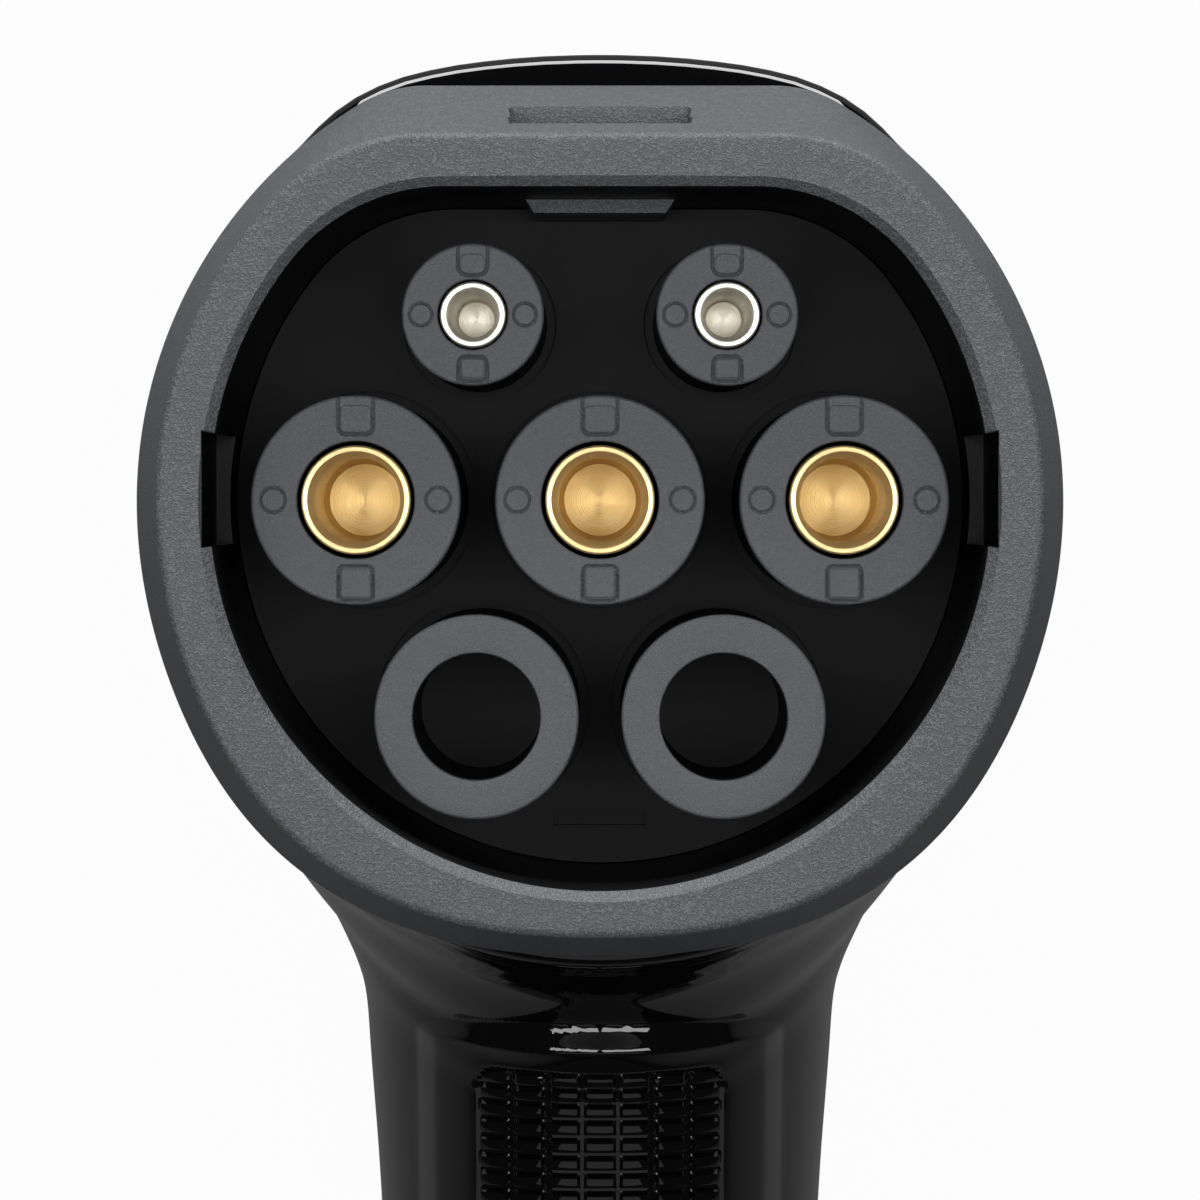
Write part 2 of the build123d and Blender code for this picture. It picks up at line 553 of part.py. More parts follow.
def shell_body():
    """Hollow head and handle behind the collar, before it is parted, with its bosses and ledge."""
    behind = block(-SPAN, SPAN, -SPAN, SPAN, rest_z(), COLLAR_BACK_Z)
    outer = body() & behind
    end_wall = grip_plane(GRIP, CABLE_DIST) * (Pos(0, 0, -END_WALL / 2) * Box(SPAN, SPAN, END_WALL))
    inner = body(-WALL) - end_wall
    plateau = plan_prism(PANEL_HALF_W, PANEL_TOP, PANEL_END, PANEL_CORNER, PANEL_DRAFT)
    raised = body(PANEL_RAISE, GRIP - RAISED_SHORT) & plateau
    hollow = inner & block(-SPAN, SPAN, -SPAN, SPAN, rest_z() + WALL, 0)
    shell = (outer + raised) - hollow

    ledge = (inner & block(-SPAN, SPAN, -SPAN, SPAN, LEDGE_Z - LEDGE_T, LEDGE_Z)) \
        - d_prism(LINER_R + LINER_GAP, LINER_FLAT + LINER_GAP, LINER_CORNER + LINER_GAP, 0, LEDGE_Z - 10.0)
    rib, hole = end_parts()
    extra = [ledge - tongue_channel(TONGUE_GAP), rib & hollow]
    for side in (-1, 1):
        extra.append(head_boss(side, HEAD_BOSS_Z, rest_z(), BOSS_R) & hollow)
        for s in GRIP_SCREW_AT:
            extra.append(grip_rod(side, s, GRIP_SCREW_X, NECK_R, CABLE_DIST + 20.0, BOSS_R) & hollow)
        extra.append(grip_rod(side, CLAMP_AT, CLAMP_SCREW_X, NECK_R, CLAMP_DIST, CLAMP_BOSS_R) & hollow)
    for piece in extra:
        shell += piece
    return shell - hole


def screw_holes(front):
    """Clearance holes and counterbores of the rear housing, or pilot holes of the front one."""
    holes = []
    for side in (-1, 1):
        if front:
            holes.append(head_boss(side, HEAD_SEAT_Z + SCREW_L + 1.0, PART_Z - 1.0, SCREW_R + PILOT_CLEAR))
        else:
            holes.append(head_boss(side, PART_Z + 1.0, HEAD_SEAT_Z, SCREW_R + SCREW_GAP))
            holes.append(head_boss(side, HEAD_SEAT_Z, rest_z() - 5.0, SCREW_HEAD_R + SCREW_GAP))
        for s in GRIP_SCREW_AT:
            if front:
                near = GRIP_SEAT_DIST - SCREW_L - 1.0
                holes.append(grip_rod(side, s, GRIP_SCREW_X, near, PART_DIST + 2.0, SCREW_R + PILOT_CLEAR))
            else:
                holes.append(grip_rod(side, s, GRIP_SCREW_X, PART_DIST - 2.0, GRIP_SEAT_DIST,
                                      SCREW_R + SCREW_GAP))
                holes.append(grip_rod(side, s, GRIP_SCREW_X, GRIP_SEAT_DIST, RECESS_FAR,
                                      SCREW_HEAD_R + SCREW_GAP))
        if front:
            near = CLAMP_DIST + CLAMP_T - CLAMP_SCREW_L - 1.0
            holes.append(grip_rod(side, CLAMP_AT, CLAMP_SCREW_X, near, CLAMP_DIST + 1.0,
                                  SCREW_R + PILOT_CLEAR))
    return holes


def front_housing(shell):
    """Glossy front half: neck and handle front, with the raised panel and the grip pad's seat."""
    half = shell & front_side()
    for hole in screw_holes(True):
        half -= hole
    seat = plan_prism(PAD_HALF_W + PAD_GAP, PAD_TOP - PAD_GAP, PAD_END + PAD_GAP, PAD_CORNER)
    return half - (seat - body(PANEL_RAISE - PAD_SEAT, GRIP - RAISED_SHORT))


def rear_housing(shell):
    """Glossy rear half: rounded head with a flat to lie on, and the handle's back."""
    half = shell - front_side()
    for hole in screw_holes(False):
        half -= hole
    return half


def grip_pad():
    """Strip let into the raised panel, standing a little proud of it."""
    strip = plan_prism(PAD_HALF_W, PAD_TOP, PAD_END, PAD_CORNER)
    end = GRIP - RAISED_SHORT
    return (strip & body(PANEL_RAISE + PAD_PROUD, end)) - body(PANEL_RAISE - PAD_SEAT, end)


def housing_screws():
    """Six screws that draw the rear housing to the front one: two in the head, four in the handle."""
    pieces = []
    for side in (-1, 1):
        pieces.append(Pos(side * HEAD_SCREW_X, HEAD_SCREW_Y, HEAD_SEAT_Z) * Rot(180, 0, 0) * screw(SCREW_L))
        for s in GRIP_SCREW_AT:
            place = grip_face_plane(s, GRIP_SEAT_DIST)
            pieces.append(place * (Pos(side * GRIP_SCREW_X, 0, 0) * (Rot(180, 0, 0) * screw(SCREW_L))))
    return Compound(pieces)


# ---------------------------------------------------------------- cable entry
def gland_body():
    """Flanged threaded tube, its flange trapped between the handle's end wall and rib."""
    base = -END_WALL - FIT_GAP
    shape = rod(GLAND_FLANGE_R, base, base - GLAND_FLANGE_T) + rod(GLAND_TUBE_R, GLAND_TUBE_L, base)
    shape -= rod(GLAND_BORE_R, GLAND_TUBE_L, base - GLAND_FLANGE_T)
    shape -= rod(GLAND_SEAT_R, GLAND_TUBE_L, GLAND_SEAT_Z)
    return grip_plane(GRIP, CABLE_DIST) * shape


def gland_claw():
    """Slotted collet that the nut squeezes onto the seal."""
    outer = GLAND_SEAT_R - FIT_GAP
    shape = rod(outer, GLAND_SEAT_Z + CLAW_L, GLAND_SEAT_Z)
    shape -= rod(outer - CLAW_WALL, GLAND_SEAT_Z + CLAW_L, GLAND_SEAT_Z)
    for i in range(CLAW_SLOTS // 2):
        slot = Box(2 * outer + 2, CLAW_SLOT, CLAW_L, align=(Align.CENTER, Align.CENTER, Align.MIN))
        shape -= Rot(0, 0, 180 * i / (CLAW_SLOTS // 2)) * (Pos(0, 0, GLAND_SEAT_Z + CLAW_BAND) * slot)
    return grip_plane(GRIP, CABLE_DIST) * shape


def cable_seal():
    """Rubber ring that grips the cable, inside the claw."""
    outer = GLAND_SEAT_R - FIT_GAP - CLAW_WALL - FIT_GAP
    shape = rod(outer, GLAND_SEAT_Z + CLAW_L - SEAL_SHORT, GLAND_SEAT_Z)
    shape -= rod(CABLE_R, GLAND_SEAT_Z + CLAW_L, GLAND_SEAT_Z)
    return grip_plane(GRIP, CABLE_DIST) * shape


def gland_nut():
    """Fluted cap nut on the gland's thread, with the hole that the cable leaves by."""
    end = NUT_START + NUT_L
    outline = [(GLAND_TUBE_R + FIT_GAP, NUT_START), (NUT_R - NUT_CHAMFER, NUT_START),
               (NUT_R, NUT_START + NUT_CHAMFER), (NUT_R, end - NUT_CHAMFER),
               (NUT_R - NUT_CHAMFER, end), (NUT_HOLE_R, end),
               (NUT_HOLE_R, end - NUT_LIP_T), (GLAND_TUBE_R + FIT_GAP, end - NUT_LIP_T)]
    shape = turned(outline)
    for i in range(NUT_FLUTES):
        angle = 2 * pi * (i + 0.5) / NUT_FLUTES
        reach = NUT_R + NUT_FLUTE_R * NUT_FLUTE_OUT
        shape -= rod(NUT_FLUTE_R, end, NUT_START + NUT_CHAMFER + NUT_BAND,
                     reach * cos(angle), reach * sin(angle))
    return grip_plane(GRIP, CABLE_DIST) * shape


def cable_clamp():
    """Saddle bar that holds the cable in the handle."""
    arch = CABLE_R + CLAMP_ARCH_WALL - 2 * FIT_GAP
    bar = block(-CLAMP_HALF_L, CLAMP_HALF_L, -CLAMP_W / 2, CLAMP_W / 2, -CLAMP_T, 0)
    bar += block(-arch, arch, -CLAMP_W / 2, CLAMP_W / 2, -CABLE_R - CLAMP_ARCH_WALL, 0)
    bar -= Pos(0, 0, CLAMP_DIST - CABLE_DIST) * (Rot(90, 0, 0) * Cylinder(CABLE_R, 2 * CLAMP_W))
    for side in (-1, 1):
        bar -= rod(SCREW_R + SCREW_GAP, 0, -CLAMP_T, side * CLAMP_SCREW_X, 0)
    return grip_face_plane(CLAMP_AT, CLAMP_DIST) * bar


def clamp_screws():
    place = grip_face_plane(CLAMP_AT, CLAMP_DIST + CLAMP_T)
    one = Rot(180, 0, 0) * screw(CLAMP_SCREW_L)
    return Compound([place * (Pos(side * CLAMP_SCREW_X, 0, 0) * one) for side in (-1, 1)])


# ---------------------------------------------------------------- assembly
def build():
    parts = {"nose_bumper": nose_bumper(), "nose_liner": nose_liner(), "nose_gasket": nose_gasket(),
             "carrier_floor": carrier_floor(), "contact_retainer": contact_retainer(),
             "retainer_screws": retainer_screws(), "proximity_resistor": proximity_resistor(),
             "collar_ring": collar_ring()}
    for name, (x, y) in POWER_AT.items():
        parts["power_contact_" + name] = power_contact(x, y)
        parts["sleeve_" + name] = sleeve(POWER_SLEEVE_R, POWER_CONTACT_R + CONTACT_GAP, x, y)
        parts["contact_cap_" + name] = contact_cap(POWER_SLEEVE_R, POWER_CONTACT_R + CONTACT_GAP, x, y)
    for name, (x, y) in SIGNAL_AT.items():
        parts["signal_contact_" + name] = signal_contact(x, y)
        parts["sleeve_" + name] = sleeve(SIGNAL_SLEEVE_R, SIGNAL_CONTACT_R + SIGNAL_GAP, x, y)
        parts["contact_cap_" + name] = contact_cap(SIGNAL_SLEEVE_R, SIGNAL_CONTACT_R + SIGNAL_GAP, x, y)
    for name, (x, y) in BLANK_AT.items():
        parts["sleeve_" + name] = blank_sleeve(x, y)
        parts["blank_ring_" + name] = blank_ring(x, y)
    shell = shell_body()
    parts["front_housing"] = front_housing(shell)
    parts["rear_housing"] = rear_housing(shell)
    parts["grip_pad"] = grip_pad()
    parts["housing_screws"] = housing_screws()
    parts["cable_clamp"] = cable_clamp()
    parts["clamp_screws"] = clamp_screws()
    parts["gland_body"] = gland_body()
    parts["gland_claw"] = gland_claw()
    parts["cable_seal"] = cable_seal()
    parts["gland_nut"] = gland_nut()
    return parts


os.makedirs("parts", exist_ok=True)
for node, shape in build().items():
    export_step(shape, "parts/" + node + ".step")
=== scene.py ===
import bmesh
import bpy
import numpy as np
from math import atan2, cos, pi, radians, sin, sqrt
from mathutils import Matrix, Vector


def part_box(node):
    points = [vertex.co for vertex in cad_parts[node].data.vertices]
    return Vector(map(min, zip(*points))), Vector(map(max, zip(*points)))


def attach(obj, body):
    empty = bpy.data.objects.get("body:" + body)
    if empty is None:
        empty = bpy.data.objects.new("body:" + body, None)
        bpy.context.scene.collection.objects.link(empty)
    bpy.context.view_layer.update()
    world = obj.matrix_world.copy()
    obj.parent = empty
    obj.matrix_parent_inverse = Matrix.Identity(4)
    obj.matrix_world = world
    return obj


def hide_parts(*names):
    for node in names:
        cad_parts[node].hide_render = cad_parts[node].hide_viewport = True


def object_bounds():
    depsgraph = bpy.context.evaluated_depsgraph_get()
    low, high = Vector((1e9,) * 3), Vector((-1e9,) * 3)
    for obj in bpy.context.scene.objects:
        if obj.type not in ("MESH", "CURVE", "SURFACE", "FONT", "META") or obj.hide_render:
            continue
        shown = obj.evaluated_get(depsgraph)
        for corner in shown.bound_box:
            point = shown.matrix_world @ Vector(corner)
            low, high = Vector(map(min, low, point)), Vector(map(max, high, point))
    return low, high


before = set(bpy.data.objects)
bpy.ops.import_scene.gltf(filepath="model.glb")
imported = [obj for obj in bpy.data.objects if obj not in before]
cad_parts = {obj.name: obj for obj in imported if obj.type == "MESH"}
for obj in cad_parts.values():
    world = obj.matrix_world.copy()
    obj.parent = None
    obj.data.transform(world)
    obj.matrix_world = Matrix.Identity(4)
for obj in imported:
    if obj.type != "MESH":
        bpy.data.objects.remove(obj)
cad_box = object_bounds()


# ---- contacts -------------------------------------------------------------------------------
# Five turned sockets, open to the front and trapped by their flanges behind the floor plate.  The
# three power sockets are bare machined brass, the two signal sockets are nickel plated.  The lathe
# leaves fine rings on every face, which draw the light out into a fan on the bottom of the bore.
MM = 0.001
JOINED_M = 2e-7


def linear(code):
    """Linear colour of an sRGB hex value."""
    part = np.array([int(code[i:i + 2], 16) / 255 for i in (1, 3, 5)])
    part = np.where(part <= 0.04045, part / 12.92, ((part + 0.055) / 1.055) ** 2.4)
    return (*part.tolist(), 1.0)


def add(tree, kind, settings=None, inputs=None):
    """Adds one node: settings are its own properties, and an input takes a value or a node's output."""
    node = tree.nodes.new(kind)
    for key, value in (settings or {}).items():
        setattr(node, key, value)
    for key, value in (inputs or {}).items():
        if isinstance(value, bpy.types.NodeSocket):
            tree.links.new(value, node.inputs[key])
        else:
            node.inputs[key].default_value = value
    return node


def mixed(tree, factor, first, second):
    """Colour between two, by a factor: a Mix node for colours, whose sockets go by number."""
    node = add(tree, "ShaderNodeMix", {"data_type": "RGBA"}, {0: factor, 6: first, 7: second})
    return node.outputs[2]


def finish_named(name, **sockets):
    """A material with one Principled shader, and values for its sockets: returns it, its tree and shader."""
    made = bpy.data.materials.new(name)
    made.use_nodes = True
    shader = made.node_tree.nodes["Principled BSDF"]
    for key, value in sockets.items():
        shader.inputs[key.replace("_", " ")].default_value = value
    return made, made.node_tree, shader


def piece_of(name, strips, material, nodes, sharp=35.0, uv=None):
    """Mesh of one or more grids of points in millimetres, each (rows, columns, 3).

    Neighbouring points of a grid make its faces, and points that fall together are joined, which
    closes every seam and pole.  The faces are then turned outwards.  With uv, of the shape (rows,
    columns, 2), the first grid carries a map.
    """
    points, faces, base = [], [], 0
    for grid in strips:
        rows, columns = grid.shape[:2]
        index = np.arange(rows * columns).reshape(rows, columns) + base
        corners = [index[:-1, :-1], index[:-1, 1:], index[1:, 1:], index[1:, :-1]]
        faces.append(np.stack(corners, -1).reshape(-1, 4))
        points.append(grid.reshape(-1, 3))
        base += rows * columns
    points = np.concatenate(points) * MM
    faces = np.concatenate(faces)
    mesh = bpy.data.meshes.new(name)
    mesh.vertices.add(len(points))
    mesh.vertices.foreach_set("co", points.astype(np.float32).ravel())
    mesh.loops.add(faces.size)
    mesh.loops.foreach_set("vertex_index", faces.astype(np.int32).ravel())
    mesh.polygons.add(len(faces))
    mesh.polygons.foreach_set("loop_start", np.arange(0, faces.size, 4, dtype=np.int32))
    mesh.update(calc_edges=True)
    if uv is not None:
        layer = mesh.uv_layers.new(name="run")
        spread = np.zeros((base, 2), np.float32)
        spread[:uv.shape[0] * uv.shape[1]] = uv.reshape(-1, 2)
        layer.uv.foreach_set("vector", spread[faces.ravel()].ravel())
    work = bmesh.new()
    work.from_mesh(mesh)
    bmesh.ops.remove_doubles(work, verts=work.verts, dist=JOINED_M)
    bmesh.ops.recalc_face_normals(work, faces=work.faces)
    work.to_mesh(mesh)
    work.free()
    mesh.shade_smooth()
    mesh.set_sharp_from_angle(angle=radians(sharp))
    mesh.materials.append(material)
    piece = bpy.data.objects.new(name, mesh)
    bpy.context.scene.collection.objects.link(piece)
    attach(piece, "root")
    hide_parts(*nodes)


def rounded(profile, radius, steps=4):
    """Open profile whose inner corners are drawn in by parabolas that leave each corner at the radius."""
    profile = np.array(profile, float)
    before, corner, after = profile[:-2], profile[1:-1], profile[2:]
    back, ahead = before - corner, after - corner
    back_length = np.linalg.norm(back, axis=1, keepdims=True)
    ahead_length = np.linalg.norm(ahead, axis=1, keepdims=True)
    cut = np.minimum(np.minimum(back_length, ahead_length) * 0.45, radius)
    start, end = corner + back / back_length * cut, corner + ahead / ahead_length * cut
    t = np.linspace(0, 1, steps + 1)[None, :, None]
    arcs = (1 - t) ** 2 * start[:, None] + 2 * t * (1 - t) * corner[:, None] + t ** 2 * end[:, None]
    return np.concatenate([profile[:1], arcs.reshape(-1, 2), profile[-1:]])


def turned(profile, centre, steps):
    """Profile of radius and height, carried once round the upright line through the centre.

    Comes with a map of the share of the turn and the length along the profile in millimetres.
    """
    turn = np.linspace(0, 2 * pi, steps + 1)
    radius, height = profile[:, :1], profile[:, 1:]
    grid = np.stack([centre[0] + radius * np.cos(turn), centre[1] + radius * np.sin(turn),
                     height + 0 * turn], -1)
    grid[:, -1] = grid[:, 0]
    run = np.concatenate([[0], np.cumsum(np.linalg.norm(np.diff(profile, axis=0), axis=1))])
    uv = np.stack(np.broadcast_arrays(turn[None] / (2 * pi), run[:, None]), -1)
    return grid, uv


def middle_of(node):
    """Centre of a CAD node across its axis, in millimetres."""
    low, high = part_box(node)
    return (low.x + high.x) / 2 / MM, (low.y + high.y) / 2 / MM


def turned_metal(name, base, pale, roughness, ring_mm, depth):
    """Machined metal: tool marks as rings, a random value of the length along the profile.

    They change the tone, the roughness and the relief, and the metal is brushed round the axis.
    """
    made, tree, shader = finish_named(name, Metallic=1.0, Roughness=roughness)
    run = add(tree, "ShaderNodeUVMap", {"uv_map": "run"}).outputs[0]
    along = add(tree, "ShaderNodeSeparateXYZ", None, {0: run}).outputs[1]
    place = add(tree, "ShaderNodeCombineXYZ", None, {"Y": along}).outputs[0]
    rings = add(tree, "ShaderNodeTexNoise", {"noise_dimensions": "3D"},
                {"Vector": place, "Scale": 1 / ring_mm, "Detail": 3.0, "Roughness": 0.7})
    tone = mixed(tree, rings.outputs[0], linear(base), linear(pale))
    tree.links.new(tone, shader.inputs["Base Color"])
    rub = add(tree, "ShaderNodeMapRange", None,
              {"Value": rings.outputs[0], "To Min": roughness * 0.75, "To Max": roughness * 1.25})
    tree.links.new(rub.outputs[0], shader.inputs["Roughness"])
    bump = add(tree, "ShaderNodeBump", None, {"Strength": 1.0, "Distance": depth, "Height": rings.outputs[0]})
    tree.links.new(bump.outputs[0], shader.inputs["Normal"])
    tangent = add(tree, "ShaderNodeTangent", {"direction_type": "UV_MAP", "uv_map": "run"})
    tree.links.new(tangent.outputs[0], shader.inputs["Tangent"])
    shader.inputs["Anisotropic"].default_value = 0.8
    shader.inputs["Anisotropic Rotation"].default_value = 0.25
    return made


brass = turned_metal("machined_brass", "#dcb974", "#f3dfae", 0.38, 0.09, 0.00003)
nickel = turned_metal("nickel_plated_brass", "#d8d2c4", "#f2eee4", 0.34, 0.09, 0.00002)


MOUTH_Z, PLATE_BACK, FLANGE_THICK, LIP_CHAMFER = -0.4, -33.0, 1.5, 0.12


def socket(name, node, material, bore, wall, flange, end, tail):
    """Socket turned from a profile: a drilled end, a parallel bore, a wide lead-in, the lip and the outside.

    Bore, wall and flange are radii, and end and tail are the heights of the bore's and the socket's ends.
    """
    drilled = [(0, end - bore * 0.33), (bore * 0.873, end - 0.1), (bore, end + 1.3)]
    lead_in = [(bore, MOUTH_Z - 3.2), (bore * 1.105, MOUTH_Z - 0.35),
               (bore + 0.47 * (wall - bore), MOUTH_Z - 0.02)]
    lip = [(wall - LIP_CHAMFER, MOUTH_Z), (wall, MOUTH_Z - LIP_CHAMFER)]
    stem = [(wall, PLATE_BACK), (flange, PLATE_BACK), (flange, PLATE_BACK - FLANGE_THICK),
            (wall, PLATE_BACK - FLANGE_THICK), (wall, tail), (0, tail)]
    profile = rounded(drilled + lead_in + lip + stem, 0.05, 3)
    grid, uv = turned(profile, middle_of(node), 144)
    piece_of(name, [grid], material, [node], 40, uv)


for tag, place in (("l1", "line"), ("pe", "earth"), ("n", "neutral")):
    socket(place + "_socket", "power_contact_" + tag, brass, 3.0, 3.8, 4.8, -20.4, -52.0)
for tag, place in (("cp", "pilot"), ("pp", "proximity")):
    socket(place + "_socket", "signal_contact_" + tag, nickel, 1.5, 2.3, 3.2, -14.4, -46.5)


# ---- sleeves and floor ----------------------------------------------------------------------
# Seven insulating sleeves stand on the plate at the bottom of the cavity.  Glass-filled nylon in
# black, moulded in polished steel, so it is dull and dark with the faintest sheen.
def shade(colour, share):
    """A hex colour made darker or paler: its linear parts times a share."""
    return tuple(part * share for part in linear(colour)[:3]) + (1.0,)


def moulded(name, colour, roughness, grain_mm, depth, strength=1.0, tone=0.12, **sockets):
    """Moulded plastic: a colour that drifts a little over some 17 mm, and the mould's grain as relief."""
    made, tree, shader = finish_named(name, Roughness=roughness, IOR=1.5, **sockets)
    place = add(tree, "ShaderNodeTexCoord").outputs["Object"]
    drift = add(tree, "ShaderNodeTexNoise", None, {"Vector": place, "Scale": 60.0, "Detail": 2.0})
    even = mixed(tree, drift.outputs[0], shade(colour, 1 - tone), shade(colour, 1 + tone))
    tree.links.new(even, shader.inputs["Base Color"])
    grain = add(tree, "ShaderNodeTexNoise", None,
                {"Vector": place, "Scale": 1 / (MM * grain_mm), "Detail": 2.0})
    bump = add(tree, "ShaderNodeBump", None,
               {"Strength": strength, "Distance": depth, "Height": grain.outputs[0]})
    tree.links.new(bump.outputs[0], shader.inputs["Normal"])
    return made


def dressed(nodes, material):
    """Gives CAD nodes one material."""
    for node in nodes:
        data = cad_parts[node].data
        data.materials.clear()
        data.materials.append(material)


black_nylon = moulded("black_glass_filled_nylon", "#070708", 0.55, 0.2, 0.00001, Specular_IOR_Level=0.25)
dressed(["sleeve_" + tag for tag in ("l1", "l2", "l3", "pe", "n", "cp", "pp")], black_nylon)
dressed(["carrier_floor", "contact_retainer", "cable_clamp"], black_nylon)


# ---- contact caps ---------------------------------------------------------------------------
# A grey touch-proof cap closes the front of each live sleeve.  Each is moulded with a tongue at the
# top and a window at the bottom, where it snaps on, and has two round ejector marks at its sides.
# The two unused sleeves carry the same ring with nothing on it.
def soft_step(value, width):
    """Rises from 0 to 1 through the value 0, over the width."""
    share = np.clip(value / width + 0.5, 0, 1)
    return share * share * (3 - 2 * share)


def box_distance(x, y, left, right, bottom, top, corner):
    """Signed distance from the outline of a rounded rectangle: negative inside it."""
    away_x = np.abs(x - (left + right) / 2) - (right - left) / 2 + corner
    away_y = np.abs(y - (bottom + top) / 2) - (top - bottom) / 2 + corner
    outside = np.hypot(np.maximum(away_x, 0), np.maximum(away_y, 0))
    return outside + np.minimum(np.maximum(away_x, away_y), 0) - corner


def groove(distance, width):
    """Share of a groove's depth at a distance from its middle line."""
    return np.exp(-(distance / width) ** 2)


PAST_EDGE = 30.0


def cap_marks(x, y, size):
    """Depth of the marks in a cap's face: a groove along each outline, and a small step up inside it.

    The outlines are two round ejector marks, the tongue with its button, and the window with its sides.
    """
    mark, land, window = size["mark"], size["land"], size["window"]
    tongue, tongue_end = size["tongue"], size["tongue_end"]
    depth = 0 * x
    for side in (-1, 1):
        off = np.hypot(x - side * land, y) - mark
        depth += 0.13 * groove(off, 0.07) - 0.03 * soft_step(-off - 0.1, 0.1)
    slot = box_distance(x, y, -tongue, tongue, tongue_end, PAST_EDGE, size["tongue_corner"])
    depth += 0.16 * groove(slot, 0.08)
    inner = box_distance(x, y, *size["button"])
    depth += 0.02 - 0.05 * soft_step(-inner, 0.12)
    pane = box_distance(x, y, *window)
    depth += 0.16 * groove(pane, 0.08) - 0.05 * soft_step(-pane - 0.22, 0.1)
    sides = np.abs(np.abs(x) - tongue)
    depth += np.where(y < window[3] - 0.6, 0.1 * groove(sides, 0.06), 0)
    return depth


def cap(name, node, radius, hole, size=None):
    """Ring with quarter rounds on its edges, its face a relief worked out on a round grid."""
    x0, y0 = middle_of(node)
    edge, lip, back = 0.22, 0.12, -2.0
    face = np.linspace(radius - edge, hole + lip, 70 if size else 4)
    bend = np.linspace(0, pi / 2, 6)
    profile = np.concatenate([
        [(hole, back), (radius, back)],
        np.stack([radius - edge + edge * np.cos(bend), -edge + edge * np.sin(bend)], 1),
        np.stack([face[1:-1], 0 * face[1:-1]], 1),
        np.stack([hole + lip - lip * np.sin(bend), -lip + lip * np.cos(bend)], 1),
        [(hole, back)]])
    grid, _ = turned(profile, (x0, y0), 560 if size else 160)
    if size:
        relief = cap_marks(grid[..., 0] - x0, grid[..., 1] - y0, size)
        grid[..., 2] -= np.where(grid[..., 2] > -edge - 0.01, relief, 0)
    piece_of(name, [grid], cap_nylon, [node], 50)


def leather_grain(name, colour, roughness, cell_mm, depth, tone):
    """Spark-eroded grain: worm-like ridges a cell apart, with a painted highlight that colours their crests
    paler and the ground between them a little darker.

    A ridge stands where a noise of the place, shifted a little by a finer one, is near its middle value.
    """
    made, tree, shader = finish_named(name, Roughness=roughness, IOR=1.5)
    place = add(tree, "ShaderNodeTexCoord").outputs["Object"]
    cell = cell_mm * MM
    bent = add(tree, "ShaderNodeTexNoise", None, {"Vector": place, "Scale": 1.7 / cell, "Detail": 1.0})
    shifted = add(tree, "ShaderNodeVectorMath", {"operation": "MULTIPLY_ADD"},
                  {0: bent.outputs[1], 1: (0.6 * cell,) * 3, 2: place})
    ridge = add(tree, "ShaderNodeTexNoise", {"normalize": True},
                {"Vector": shifted.outputs[0], "Scale": 1 / cell, "Detail": 2.0, "Roughness": 0.5})
    away = add(tree, "ShaderNodeMath", {"operation": "SUBTRACT"}, {0: ridge.outputs[0], 1: 0.5})
    line = add(tree, "ShaderNodeMath", {"operation": "ABSOLUTE"}, {0: away.outputs[0]})
    crest = add(tree, "ShaderNodeMapRange", {"interpolation_type": "SMOOTHSTEP"},
                {"Value": line.outputs[0], "From Min": 0.0, "From Max": 0.1, "To Min": 1.0, "To Max": 0.0})
    # Painted highlight: the ridge crests are coloured paler, and the ground between them darker.
    crest_highlight = mixed(tree, crest.outputs[0], shade(colour, 1 - tone), shade(colour, 1 + 1.4 * tone))
    tree.links.new(crest_highlight, shader.inputs["Base Color"])
    bump = add(tree, "ShaderNodeBump", None, {"Strength": 1.0, "Distance": depth, "Height": crest.outputs[0]})
    tree.links.new(bump.outputs[0], shader.inputs["Normal"])
    return made


cap_nylon = leather_grain("charcoal_nylon_fine_grain", "#4a4c51", 0.5, 0.2, 0.000012, 0.12)
POWER_MARKS = {"mark": 0.87, "land": 5.75, "tongue": 1.22, "tongue_end": 4.55, "tongue_corner": 0.55,
               "button": (-1.05, 1.05, 4.72, 6.55, 0.35), "window": (-1.2, 1.2, -7.0, -4.6, 0.4)}
SIGNAL_MARKS = {"mark": 0.8, "land": 3.62, "tongue": 1.04, "tongue_end": 2.72, "tongue_corner": 0.7,
                "button": (-0.86, 0.86, 2.86, 4.2, 0.5), "window": (-0.98, 0.98, -4.62, -2.9, 0.45)}
for tag, place in (("l1", "line"), ("pe", "earth"), ("n", "neutral")):
    cap(place + "_cap", "contact_cap_" + tag, 7.3, 4.1, POWER_MARKS)
for tag, place in (("cp", "pilot"), ("pp", "proximity")):
    cap(place + "_cap", "contact_cap_" + tag, 4.95, 2.45, SIGNAL_MARKS)
for tag, place in (("l2", "left"), ("l3", "right")):
    cap(place + "_blank_cap", "blank_ring_" + tag, 7.12, 4.45)


# ---- cavity liner ---------------------------------------------------------------------------
# Hard black tube of the mating cavity, D-shaped, with a keyway in each side.  Moulded nylon, polished
# so that a plug slides in.
def d_radius(turn, radius, flat, corner):
    """Distance from the axis to a D outline, by direction: the arc, its two tangent corners or the flat."""
    cy = flat - corner
    cx = sqrt((radius - corner) ** 2 - cy ** 2)
    x, y = np.abs(np.cos(turn)), np.sin(turn)
    along = cx * x + cy * y
    round_corner = along + np.sqrt(np.maximum(corner ** 2 - cx ** 2 - cy ** 2 + along ** 2, 0))
    level = flat / np.maximum(y, 1e-6)
    in_flat = (y > 0) & (level * x < cx)
    in_arc = np.arctan2(y, x) < atan2(cy, cx)
    return np.where(in_flat, level, np.where(in_arc, radius, round_corner))


def ring_turns(marks, count):
    """Directions all round, with a close pair at each mark, for a step there."""
    even = np.linspace(-pi / 2, 3 * pi / 2, count + 1)
    pairs = [m + e for m in marks for e in (-0.0004, 0.0004)]
    return np.unique(np.concatenate([even, pairs]))


